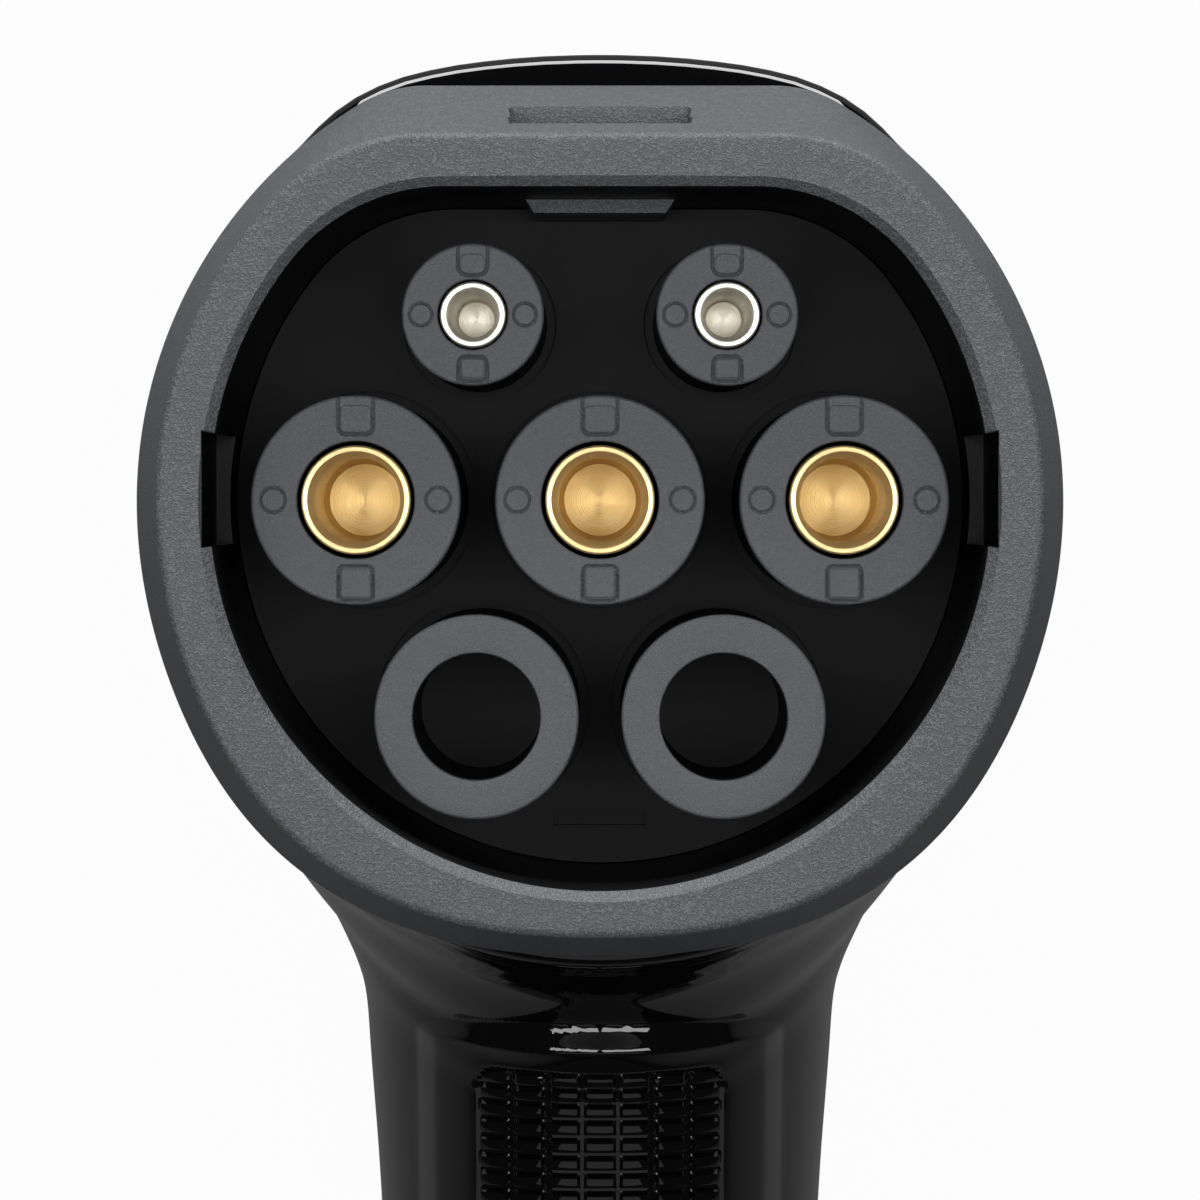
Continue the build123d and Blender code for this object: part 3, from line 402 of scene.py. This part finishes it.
def ring_of(turn, radius, z):
    """Closed row of points at a height, a radius out from the axis in each direction."""
    grid = np.stack([radius * np.cos(turn), radius * np.sin(turn), z + 0 * turn], -1)
    grid[-1] = grid[0]
    return grid


KEY_TOP, KEY_BOTTOM = 4.8, -3.3


def keyed(turn, radius, reach):
    """A D outline stepped out to a flat keyway wall, between the two heights of the keyway."""
    wall = reach / np.maximum(np.abs(np.cos(turn)), 1e-6)
    height = wall * np.sin(turn)
    inside = (height < KEY_TOP) & (height > KEY_BOTTOM) & (np.abs(np.cos(turn)) > 0.5)
    return np.where(inside, wall, radius)


def key_marks(reach):
    """Directions of the four corners of the keyways, whose walls stand at a reach from the middle."""
    right = [atan2(KEY_BOTTOM, reach), atan2(KEY_TOP, reach)]
    return right + [pi - m for m in right]


# A D is given by its arc's radius, the height of its flat and the radius of its two corners.
OPENING = (26.8, 21.5, 13.5)
LINER_OUT = (28.2, 22.9, 14.9)
KEY_REACH, KEY_BACK, KEY_BEND, LIP_Z = 27.8, -20.0, -4.0, 6.8
liner_turns = ring_turns(key_marks(KEY_REACH), 480)
inside = d_radius(liner_turns, *OPENING)
outside = d_radius(liner_turns, *LINER_OUT)
in_key = keyed(liner_turns, inside, KEY_REACH)
liner_rows = [ring_of(liner_turns, r, z) for r, z in (
    (inside, PLATE_BACK), (inside, KEY_BACK), (in_key, KEY_BACK), (in_key, KEY_BEND), (in_key, LIP_Z),
    (outside, LIP_Z), (outside, PLATE_BACK), (inside, PLATE_BACK))]
liner_nylon = moulded("black_polished_nylon", "#060607", 0.42, 0.3, 0.000008, Specular_IOR_Level=0.3)
piece_of("cavity_liner", [np.array(liner_rows)], liner_nylon, ["nose_liner"], 30)


# ---- bumper ---------------------------------------------------------------------------------
# Tough grey overmoulding round the mating face, flared towards the handle.  Soft thermoplastic with
# a spark-eroded leather grain.  The locking slot is let into its flat side, and its snap tongue
# reaches over the liner to the floor.
RIM = (30.55, 25.2, 14.2)
REAR = (33.2, 29.7, 9.3)
SEAT = (28.3, 23.0, 15.0)
RIM_Z, REAR_Z, RIM_ROUND, RIM_KEY = 8.0, -12.0, 0.5, 27.3
SLOT_HALF, SLOT_MARK, SLOT_FRONT, SLOT_BACK, SLOT_FLOOR = 5.75, 6.2, 4.0, -3.0, 23.5
# The slot's ends are drawn in from close mesh lines at its marks, and a hair keeps them off its edges.
SLOT_LEVEL, SLOT_ROOF, HAIR = 27.5, 24.5, 0.0005
slot_marks = [pi / 2 - s * atan2(SLOT_MARK, SLOT_LEVEL) for s in (-1, 1)]
bumper_turns = ring_turns(key_marks(RIM_KEY) + slot_marks, 900)


def flare(z):
    """Radius, flat and corner of the D at a height: straight lines from the rim's to the rear's."""
    share = (RIM_Z - z) / (RIM_Z - REAR_Z)
    return [a + share * (b - a) for a, b in zip(RIM, REAR)]


def squared(turn):
    """Share by which the lower half is squared off: fuller at its two corners, shallower at its foot."""
    away = np.abs(np.degrees(np.arctan2(np.cos(turn), -np.sin(turn))))
    return 0.995 + 0.03 * np.exp(-((away - 42) / 22) ** 2) - 0.0165 * np.exp(-(away / 16) ** 2)


def flare_row(z, inset=0.0):
    """Row of points round the flare's outside at a height, drawn in by the inset."""
    outline = d_radius(bumper_turns, *flare(z)) * squared(bumper_turns)
    return ring_of(bumper_turns, outline - inset, z)


def bumper_rows():
    """Closed profile from the flare's rear, round the rim, in over the chamfer and back along the wall.

    Points of the flat side between the slot's ends then sink to its floor, which leaves steep walls.
    """
    round_z, chamfer = RIM_Z - RIM_ROUND, 0.7
    behind = np.concatenate([np.linspace(REAR_Z, SLOT_BACK, 10), [SLOT_BACK - 0.0001, SLOT_BACK]])
    in_slot = np.linspace(SLOT_BACK + 2 * HAIR, SLOT_FRONT - 2 * HAIR, 12)
    before = np.concatenate([[SLOT_FRONT, SLOT_FRONT + 0.0001], np.linspace(SLOT_FRONT + 0.6, round_z, 6)])
    rows = [flare_row(z) for z in np.concatenate([behind, in_slot, before])]
    for a in np.linspace(0, pi / 2, 7)[1:]:
        rows.append(flare_row(round_z + RIM_ROUND * sin(a), RIM_ROUND * (1 - cos(a))))
    rim = d_radius(bumper_turns, *RIM) * squared(bumper_turns) - RIM_ROUND
    mouth = d_radius(bumper_turns, *OPENING)
    stepped = keyed(bumper_turns, mouth, RIM_KEY)
    edge = np.maximum(mouth + chamfer, keyed(bumper_turns, mouth + chamfer, RIM_KEY))
    wall = d_radius(bumper_turns, *SEAT)
    inward = [(rim + share * (edge - rim), RIM_Z) for share in (0.33, 0.66, 0.97, 1.0)]
    inward += [(np.maximum(edge - 0.04, stepped), RIM_Z - 0.03), (stepped, RIM_Z - chamfer),
               (stepped, LIP_Z), (wall, LIP_Z), (wall, REAR_Z)]
    rows += [ring_of(bumper_turns, radius, z) for radius, z in inward]
    rows.append(rows[0])
    grid = np.array(rows)
    x, y, z = grid[..., 0], grid[..., 1], grid[..., 2]
    sink = (np.abs(x) < SLOT_MARK + 0.02) & (y > SLOT_ROOF) & (z < SLOT_FRONT - HAIR) & (z > SLOT_BACK + HAIR)
    drawn = np.abs(x) > SLOT_HALF
    grid[..., 0] = np.where(sink & drawn, np.sign(x) * SLOT_HALF, x)
    grid[..., 1] = np.where(sink, SLOT_FLOOR, y)
    return grid


bumper_grain = leather_grain("charcoal_overmould_leather_grain", "#525458", 0.55, 0.36, 0.00004, 0.22)
TONGUE_BACK, TONGUE_FRONT = -28.0, -12.4
section = np.array([(-5.3, 21.45), (-4.7, 20.5), (4.7, 20.5), (5.3, 21.45), (-5.3, 21.45)])
pole = np.array([(0.0, 21.0)] * len(section))
tongue = np.array([np.column_stack([outline, np.full(len(section), z)]) for outline, z in (
    (pole, TONGUE_BACK), (section, TONGUE_BACK), (section, TONGUE_FRONT), (pole, TONGUE_FRONT))])
piece_of("bumper", [bumper_rows(), tongue], bumper_grain, ["nose_bumper"], 30)


# ---- glossy body ----------------------------------------------------------------------------
# Collar, neck and handle in black polycarbonate blend, moulded in mirror-polished steel.  A front
# and a rear half, parted along the handle's sides and drawn together by screws from the rear.
BEND_Y, BEND_Z, NECK = -53.5, -12.0, 20.0
BEND, BEND_RUN, GRIP = 65.0, 51.0, 85.0
CURVE, END_RUN = radians(8) / GRIP, BEND_RUN + GRIP
# Angle in the bend, run along the handle, middle, half width, reach to the back, front and back exponents.
STATIONS = np.array([
    (0, 0, 53.5, 33.5, 85.8, 2.0, 2.3), (8, 0, 54.0, 33.6, 86.75, 2.0, 2.3),
    (16, 0, 55.6, 33.6, 89.3, 2.0, 2.3), (24, 0, 58.4, 33.5, 93.0, 2.0, 2.3),
    (32, 0, 62.5, 33.1, 96.2, 1.95, 2.35), (40, 0, 66.0, 31.8, 99.3, 1.95, 2.45),
    (47, 0, 64.5, 28.6, 101.6, 1.95, 2.6), (53, 0, 58.5, 24.4, 102.8, 1.95, 2.7),
    (58, 0, 51.0, 21.1, 102.0, 2.0, 2.7), (62, 0, 46.5, 19.3, 94.0, 2.0, 2.6),
    (65, 0, 44.0, 18.4, 82.0, 2.0, 2.5), (65, 5, 42.5, 17.8, 71.5, 2.0, 2.4),
    (65, 12, 41.0, 17.3, 63.5, 2.0, 2.35), (65, 22, 39.5, 16.8, 58.0, 2.0, 2.3),
    (65, 34, 38.4, 16.6, 55.4, 2.0, 2.3), (65, 46, 37.8, 16.6, 54.3, 2.0, 2.3),
    (65, 58, 37.5, 16.8, 54.0, 2.0, 2.3), (65, 70, 37.7, 17.0, 54.6, 2.0, 2.3),
    (65, 85, 38.0, 17.2, 55.5, 2.0, 2.3)])
KNOTS = STATIONS[:, 0] * BEND_RUN / BEND + STATIONS[:, 1]


def spline(at):
    """Natural cubic through the stations: second slopes from one set of equations, then each span's cubic."""
    values, gap, n = STATIONS[:, 2:], np.diff(KNOTS)[:, None], len(KNOTS)
    system, right = np.zeros((n, n)), np.zeros((n, values.shape[1]))
    system[0, 0] = system[-1, -1] = 1
    i = np.arange(1, n - 1)
    system[i, i - 1], system[i, i], system[i, i + 1] = gap[:-1, 0], 2 * (gap[:-1] + gap[1:])[:, 0], gap[1:, 0]
    right[i] = 6 * ((values[2:] - values[1:-1]) / gap[1:] - (values[1:-1] - values[:-2]) / gap[:-1])
    bend = np.linalg.solve(system, right)
    k = np.clip(np.searchsorted(KNOTS, at) - 1, 0, n - 2)
    h, u, w = gap[k], (at - KNOTS[k])[:, None], (KNOTS[k + 1] - at)[:, None]
    return (bend[k] * w ** 3 + bend[k + 1] * u ** 3) / (6 * h) + (values[k] / h - bend[k] * h / 6) * w \
        + (values[k + 1] / h - bend[k + 1] * h / 6) * u


def section_frame(run):
    """Where each section stands: its place on the bend's axis, carried along the handle, and its angle."""
    start = np.radians(np.minimum(run * BEND / BEND_RUN, BEND))
    angle = start + CURVE * np.maximum(run - BEND_RUN, 0)
    y = BEND_Y + (np.cos(angle) - np.cos(start)) / CURVE
    z = BEND_Z - (np.sin(angle) - np.sin(start)) / CURVE
    return y, z, angle


def body_points(run, turn, grow):
    """Points of the body: run picks the section, turn goes round it, and grow moves the skin out.

    A section's half width and reach carry a superellipse, whose exponent differs in front and behind.
    """
    centre, half_w, back, front_n, back_n = spline(run).T[..., None]
    y, z, angle = (v[:, None] for v in section_frame(run))
    c, d = np.cos(turn), np.sin(turn)
    n = np.where(d > 0, back_n, front_n)
    reach = np.where(d > 0, back - centre, centre - NECK) + grow
    x = (half_w + grow) * np.sign(c) * np.abs(c) ** (2 / n)
    out = centre + reach * np.sign(d) * np.abs(d) ** (2 / n)
    return np.stack([x, y + out * np.cos(angle), z - out * np.sin(angle)], -1)


def parting_turn(run):
    """Turn at which a section meets the parting: a level plane behind the head, then the handle's middle."""
    share = np.linspace(0, 1, 40)
    level = np.radians(np.linspace(20, 47.19, 60))
    line_y, line_z = 31.5 - 15.02 * share, 34.0 + 1.35 * share
    known = np.concatenate([level[:-1], np.arctan2(line_z, line_y)])
    away = np.concatenate([34 / np.sin(level[:-1]), np.hypot(line_y, line_z)])
    angle = section_frame(run)[2]
    dist = np.where(run < BEND_RUN, np.interp(angle, known, away), 39.0)
    centre, _, back, front_n, back_n = spline(run).T
    high = np.clip((dist - centre) / (back - centre), 0, 1) ** (back_n / 2)
    low = np.clip((centre - dist) / (centre - NECK), 0, 1) ** (front_n / 2)
    return np.arcsin(np.where(dist > centre, high, -low))


def ramp(value, ease=0.09):
    """Rises from 0 at 0 to 1 at 1, straight between, with both bends eased."""
    return (np.sqrt(value ** 2 + ease ** 2) - np.sqrt((value - 1) ** 2 + ease ** 2) + 1) / 2


def plan(points):
    """Place on the handle's front: across it, and along it from the end of the bend."""
    start = radians(BEND)
    y, z = points[..., 1] - BEND_Y, points[..., 2] - BEND_Z
    return points[..., 0], -y * sin(start) - z * cos(start)


PANEL_HALF, PANEL_WALL, PANEL_TOP, PANEL_END, PANEL_CORNER = 13.7, 2.1, -8.0, 66.0, 3.0
ARCH, CROWN_HALF = 3.4 / 12.6 ** 2, 11.5
PAD_HALF, PAD_TOP, PAD_END, PAD_CORNER, PAD_SEAT = 8.5, -4.7, 62.0, 1.6, 0.5


def panel_rise(points):
    """Raised panel: a plateau with straight flanks, crowned across, with a seat let in for the pad."""
    x, v = plan(points)
    v = v - ARCH * x ** 2
    edge = box_distance(x, np.where(v < 20, PANEL_TOP + (v - PANEL_TOP) * 2.2, v), -PANEL_HALF, PANEL_HALF,
                        PANEL_TOP, PANEL_END, PANEL_CORNER)
    rise = ramp(-edge / PANEL_WALL) * (1.0 + 0.8 * (1 - np.minimum(np.abs(x) / CROWN_HALF, 1) ** 2))
    pad = box_distance(x, v, -PAD_HALF, PAD_HALF, PAD_TOP, PAD_END, PAD_CORNER)
    return rise - PAD_SEAT * ramp(-pad / 0.3)


WALL, EDGE_ROUND, GROOVE, GROOVE_HALF = 2.5, 1.3, 0.2, 0.3
TUCK_AT = (-50, -20, 0, 10, 20, 30, 40, 45, 50, 55, 60, 65, 70, 75, 80, 85, 90)
TUCK_TO = (0.980, 0.980, 0.978, 0.973, 0.962, 0.954, 0.953, 0.957, 0.966, 0.986, 0.997, 0.997, 0.992,
           0.987, 0.984, 0.983, 0.983)
floor_mm = cad_box[0].z / MM
# The hole for the cable in the handle's end, and the collar's ring, whose hole goes back to the wall.
HOLE_R, CABLE_OUT, END_WALL = 10.15, 38.0, 3.0
RING_RUN, RING_BACK, MEAN_RADIUS = 9.5, -20.0, 24.0


def body_skin(runs, turn, part, columns, front):
    """Outer skin: the plain body, the panel, the eased front edge, the parting groove and the rear flat."""
    plain = body_points(runs, turn, 0.0)
    depth = np.clip((REAR_Z - plain[..., 2]) / EDGE_ROUND, 0, 1)
    grow = -EDGE_ROUND * (1 - np.sqrt(1 - (1 - depth) ** 2))
    if front:
        grow = grow + panel_rise(plain)
    width = (pi / 2 + (part if front else -part)) * MEAN_RADIUS
    near = (1 - np.abs(columns[None])) * width
    parted = part < pi / 2 - 0.02
    grow = grow - np.where(parted, GROOVE * np.clip(1 - near / GROOVE_HALF, 0, 1) ** 2, 0)
    skin = tucked(body_points(runs, turn, grow))
    above = skin[..., 2] - floor_mm
    skin[..., 2] = floor_mm + (above + np.sqrt(above ** 2 + 0.1)) / 2
    return skin


def tucked(skin):
    """Draws the collar in under the nose: most beside the crown, and less and less over 30 mm behind."""
    high = np.degrees(np.arctan2(skin[..., 1], np.abs(skin[..., 0])))
    keep = np.interp(high, TUCK_AT, TUCK_TO)
    fade = np.clip(1 - (REAR_Z - skin[..., 2]) / 30.0, 0, 1) * np.clip((skin[..., 1] + 34) / 10, 0, 1)
    skin[..., :2] *= (1 - (1 - keep) * fade)[..., None]
    return skin


def end_row(run, turn, radius):
    """Row of points on the cable hole's edge, in one section of the handle's end."""
    y, z, angle = (v[:, None] for v in section_frame(np.array([run])))
    x, out = radius * np.cos(turn[-1:]), CABLE_OUT + radius * np.sin(turn[-1:])
    return np.stack([x, y + out * np.cos(angle), z - out * np.sin(angle)], -1)


def half_shell(name, front, columns, runs, material, nodes):
    """One half of the body: outer skin, inner skin a wall inside it, and the strips that close the two."""
    part = parting_turn(runs)[:, None]
    reach_round = columns[None] * (pi / 2 + (part if front else -part))
    turn = (-pi / 2 if front else pi / 2) + reach_round
    outer = body_skin(runs, turn, part, columns, front)
    inside = runs < END_RUN - END_WALL
    if front:
        inside &= runs > RING_RUN
    inner = body_points(runs[inside], turn[inside], -WALL)
    inner[..., 2] = np.maximum(inner[..., 2], floor_mm + WALL)
    strips = [outer, inner]
    open_rows = (part[:, 0] < pi / 2 - 0.001) & inside
    kept = open_rows[inside]
    for side in (0, -1):
        strips.append(np.stack([outer[open_rows][:, side], inner[kept][:, side]]))
    hole_out, hole_in = end_row(END_RUN, turn, HOLE_R), end_row(END_RUN - END_WALL, turn, HOLE_R)
    strips.append(np.concatenate([outer[-1:], hole_out, hole_in, inner[-1:]]))
    tail = outer[np.flatnonzero(open_rows)[-1]:]
    for side in (0, -1):
        edge = np.concatenate([tail[:, side], hole_out[:, side], hole_in[:, side]])
        fan = np.broadcast_to(inner[-1, side], edge.shape)
        strips.append(np.stack([edge, fan]))
    if front:
        first = outer[:1]
        around = np.arctan2(first[..., 1], first[..., 0])
        hole = d_radius(around, *SEAT)
        rows = [first]
        for z in (REAR_Z, RING_BACK):
            rows.append(np.stack([hole * np.cos(around), hole * np.sin(around), z + 0 * hole], -1))
        rows.append(inner[:1])
        strips.append(np.concatenate(rows))
    piece_of(name, strips, material, nodes, 32)


def gathered(low, high, count, centres, width, weight):
    """Values from low to high, closer together around the centres."""
    fine = np.linspace(low, high, 4000)
    load = 1 + sum(weight * np.exp(-((fine - c) / width) ** 2) for c in centres)
    total = np.concatenate([[0], np.cumsum((load[1:] + load[:-1]) / 2)])
    return np.interp(np.linspace(0, total[-1], count), total, fine)


def mirrored(half):
    """Values from 0 to 1, with the same to the other side of 0 before them."""
    return np.concatenate([-half[:0:-1], half])


gloss = moulded("black_gloss_polycarbonate", "#050506", 0.035, 8.0, 0.000004, 0.4, 0.02,
                Coat_Weight=0.2, Coat_Roughness=0.02)
front_runs = np.concatenate([np.linspace(0, 1, 12) ** 1.6 * 3.0,
                             gathered(3.2, END_RUN, 275, (38.0, 42.0), 4.0, 2.0)])
front_columns = mirrored(np.concatenate([gathered(0, 0.99, 78, (0.5,), 0.11, 2.2), [0.994, 0.997, 1.0]]))
half_shell("front_shell", True, front_columns, front_runs, gloss,
           ["collar_ring", "front_housing"])

search = np.linspace(10, 30, 4001)
back_start = search[np.flatnonzero(parting_turn(search) < pi / 2 - 1e-9)[0] - 1]
rear_runs = np.concatenate([back_start + np.linspace(0, 1, 10) ** 2 * 2.0,
                            np.linspace(back_start + 2.3, END_RUN, 230)])
rear_columns = mirrored(np.concatenate([np.linspace(0, 0.985, 70), [0.99, 0.995, 1.0]]))
half_shell("rear_shell", False, rear_columns, rear_runs, gloss, ["rear_housing"])


# ---- grip pad -------------------------------------------------------------------------------
# Insert of small raised blocks in the panel, for a firm hold: seven columns, and rows that follow the
# panel's arch.  The same gloss black, pressed into its seat.
COLUMN, ROW, GAP_HALF, BLOCK = 2.45, 1.51, 0.22, 0.45
PAD_LEVEL, PAD_UNDER = -0.35, -0.55


def block_height(place, pitch):
    """Share of a block's height across one pitch: 0 in the gap, 1 on the block, with rounded edges."""
    off = np.abs((place / pitch + 0.5) % 1 - 0.5) * pitch
    return soft_step(off - GAP_HALF - 0.02, 0.24)


def on_front(x, v):
    """Section and turn on the handle's front at a place of the panel's plan, found in a few steps."""
    run = BEND_RUN + v + ARCH * x ** 2
    for _ in range(6):
        _, half_w, _, front_n, _ = spline(run.ravel()).T.reshape(5, *run.shape)
        turn = -pi / 2 + np.sign(x) * np.arcsin(np.clip(np.abs(x) / half_w, 0, 1) ** (front_n / 2))
        found = plan(single(run, turn, 0.0))[1] - ARCH * x ** 2
        run = run + v - found
    return run, turn


def single(run, turn, grow):
    """Body points for one run and one turn each: the same superellipse, taken point by point."""
    centre, half_w, _, front_n, _ = spline(run.ravel()).T.reshape(5, *run.shape)
    y, z, angle = section_frame(run)
    c, d = np.cos(turn), np.sin(turn)
    x = (half_w + grow) * np.sign(c) * np.abs(c) ** (2 / front_n)
    out = centre + (centre - NECK + grow) * np.sign(d) * np.abs(d) ** (2 / front_n)
    return np.stack([x, y + out * np.cos(angle), z - out * np.sin(angle)], -1)


def cuts(pitch, shares, count, first, low, high):
    """Places of the mesh's lines: the same shares of each pitch, between two ends."""
    lines = np.concatenate([pitch * (k + np.array(shares)) for k in range(count[0], count[1])]) + first
    return np.concatenate([[low], lines[(lines > low + 0.02) & (lines < high - 0.02)], [high]])


across = cuts(COLUMN, (0, 0.05, 0.09, 0.13, 0.19, 0.5, 0.81, 0.87, 0.91, 0.95), (-4, 4), COLUMN / 2,
              -PAD_HALF, PAD_HALF)
down = cuts(ROW, (0, 0.09, 0.15, 0.21, 0.3, 0.5, 0.7, 0.79, 0.85, 0.91), (-5, 43), 0.0, PAD_TOP, PAD_END)
near_end = np.clip(np.minimum(down - PAD_TOP, PAD_END - down), 0, PAD_CORNER)
narrow = PAD_HALF - PAD_CORNER + np.sqrt(PAD_CORNER ** 2 - (PAD_CORNER - near_end) ** 2)
pad_x = across[None] * (narrow / PAD_HALF)[:, None]
pad_v = np.broadcast_to(down[:, None], pad_x.shape)
pad_run, pad_turn = on_front(pad_x, pad_v)
face = 1.0 + 0.8 * (1 - (pad_x / CROWN_HALF) ** 2)
blocks = block_height(pad_x + COLUMN / 2, COLUMN) * block_height(pad_v, ROW)
edge = np.minimum(np.minimum(narrow[:, None] - np.abs(pad_x), pad_v - PAD_TOP), PAD_END - pad_v)
blocks *= soft_step(edge - 0.12, 0.2)
top = single(pad_run, pad_turn, face + PAD_LEVEL + BLOCK * blocks)
under = single(pad_run, pad_turn, face + PAD_UNDER)
pad_strips = [top, under] + [np.stack([top[k], under[k]]) for k in (0, -1)] \
    + [np.stack([top[:, k], under[:, k]]) for k in (0, -1)]
piece_of("grip_blocks", pad_strips, gloss, ["grip_pad"], 40)


# ---- cable gland and fasteners --------------------------------------------------------------
# Black nylon gland with a fluted cap nut and a slotted collet round a rubber ring, zinc-plated screws
# in the rear, and the small lacquered resistor that codes the cable's size.
satin_nylon = moulded("black_satin_nylon", "#1b1b1c", 0.36, 0.25, 0.00001)
grey_nylon = moulded("dark_grey_natural_nylon", "#3b3b3c", 0.5, 0.25, 0.00001)
rubber = moulded("black_moulded_rubber", "#141414", 0.75, 0.3, 0.00002)
lacquer = moulded("beige_lacquered_resistor", "#a8946a", 0.25, 0.6, 0.000005)
zinc, tree, shader = finish_named("zinc_plated_steel", Metallic=1.0, Roughness=0.35)
place = add(tree, "ShaderNodeTexCoord").outputs["Object"]
shine = add(tree, "ShaderNodeTexNoise", None, {"Vector": place, "Scale": 900.0, "Detail": 3.0})
tone = mixed(tree, shine.outputs[0], linear("#a9adb0"), linear("#c9ccca"))
tree.links.new(tone, shader.inputs["Base Color"])
dressed(["gland_body", "gland_nut"], satin_nylon)
dressed(["gland_claw"], grey_nylon)
dressed(["cable_seal", "nose_gasket"], rubber)
dressed(["proximity_resistor"], lacquer)
dressed(["retainer_screws", "housing_screws", "clamp_screws"], zinc)


# ---- stage ----------------------------------------------------------------------------------
# A plain floor that the plug lies on its back on, seen as nearly white and keeping a little shadow.  Two
# soft boxes stand in front, a long one over the flat side, and a faint card below.
FLOOR_REACH, SEEN_SHARE = 3.0, 0.97
mesh = bpy.data.meshes.new("floor")
corners = [(FLOOR_REACH * x, FLOOR_REACH * y, cad_box[0].z) for x, y in ((-1, -1), (1, -1), (1, 1), (-1, 1))]
mesh.from_pydata(corners, [], [(0, 1, 2, 3)])
floor = bpy.data.objects.new("floor", mesh)
bpy.context.scene.collection.objects.link(floor)
paper, tree, shader = finish_named("white_paper", Roughness=0.9)
shader.inputs["Base Color"].default_value = linear("#6e6e6e")
path = add(tree, "ShaderNodeLightPath")
lit = add(tree, "ShaderNodeEmission", None, {"Color": (1, 1, 1, 1), "Strength": 1.0})
share = add(tree, "ShaderNodeMath", {"operation": "MULTIPLY"},
            {0: path.outputs["Is Camera Ray"], 1: SEEN_SHARE})
seen = add(tree, "ShaderNodeMixShader", None, {0: share.outputs[0], 1: shader.outputs[0], 2: lit.outputs[0]})
tree.links.new(seen.outputs[0], tree.nodes["Material Output"].inputs[0])
mesh.materials.append(paper)

world = bpy.data.worlds.new("studio")
bpy.context.scene.world = world
world.use_nodes = True
tree = world.node_tree
path = add(tree, "ShaderNodeLightPath")
level = add(tree, "ShaderNodeMapRange", None,
            {"Value": path.outputs["Is Camera Ray"], "To Min": 0.03, "To Max": 1.0})
tree.links.new(level.outputs[0], tree.nodes["Background"].inputs["Strength"])
tree.nodes["Background"].inputs["Color"].default_value = (1, 1, 1, 1)


def soft_box(name, place, aim, width, height, watts):
    """Rectangular light at a place, turned to face its aim."""
    light = bpy.data.lights.new(name, "AREA")
    light.shape = "RECTANGLE"
    light.size, light.size_y, light.energy = width, height, watts
    lamp = bpy.data.objects.new(name, light)
    bpy.context.scene.collection.objects.link(lamp)
    lamp.location = place
    lamp.rotation_euler = (Vector(aim) - Vector(place)).to_track_quat("-Z", "Y").to_euler()


soft_box("top_box", (0, 0.75, 0.16), (0, 0, 0), 0.9, 0.3, 10)
soft_box("left_box", (-0.26, 0.02, 0.75), (0, 0, 0), 0.3, 0.5, 2.8)
soft_box("right_box", (0.26, 0.02, 0.75), (0, 0, 0), 0.3, 0.5, 2.8)
soft_box("low_card", (0, -0.75, 0.55), (0, -0.05, 0), 0.9, 0.5, 0.5)

camera = bpy.data.cameras.new("camera")
camera.sensor_width = 36.0
camera.lens = 202.77
camera.shift_y = -1 / 12
camera.clip_start = 0.01
eye = bpy.data.objects.new("camera", camera)
bpy.context.scene.collection.objects.link(eye)
eye.location = (0, 0, 0.470)
bpy.context.scene.camera = eye
bpy.context.scene.view_settings.view_transform = "Standard"
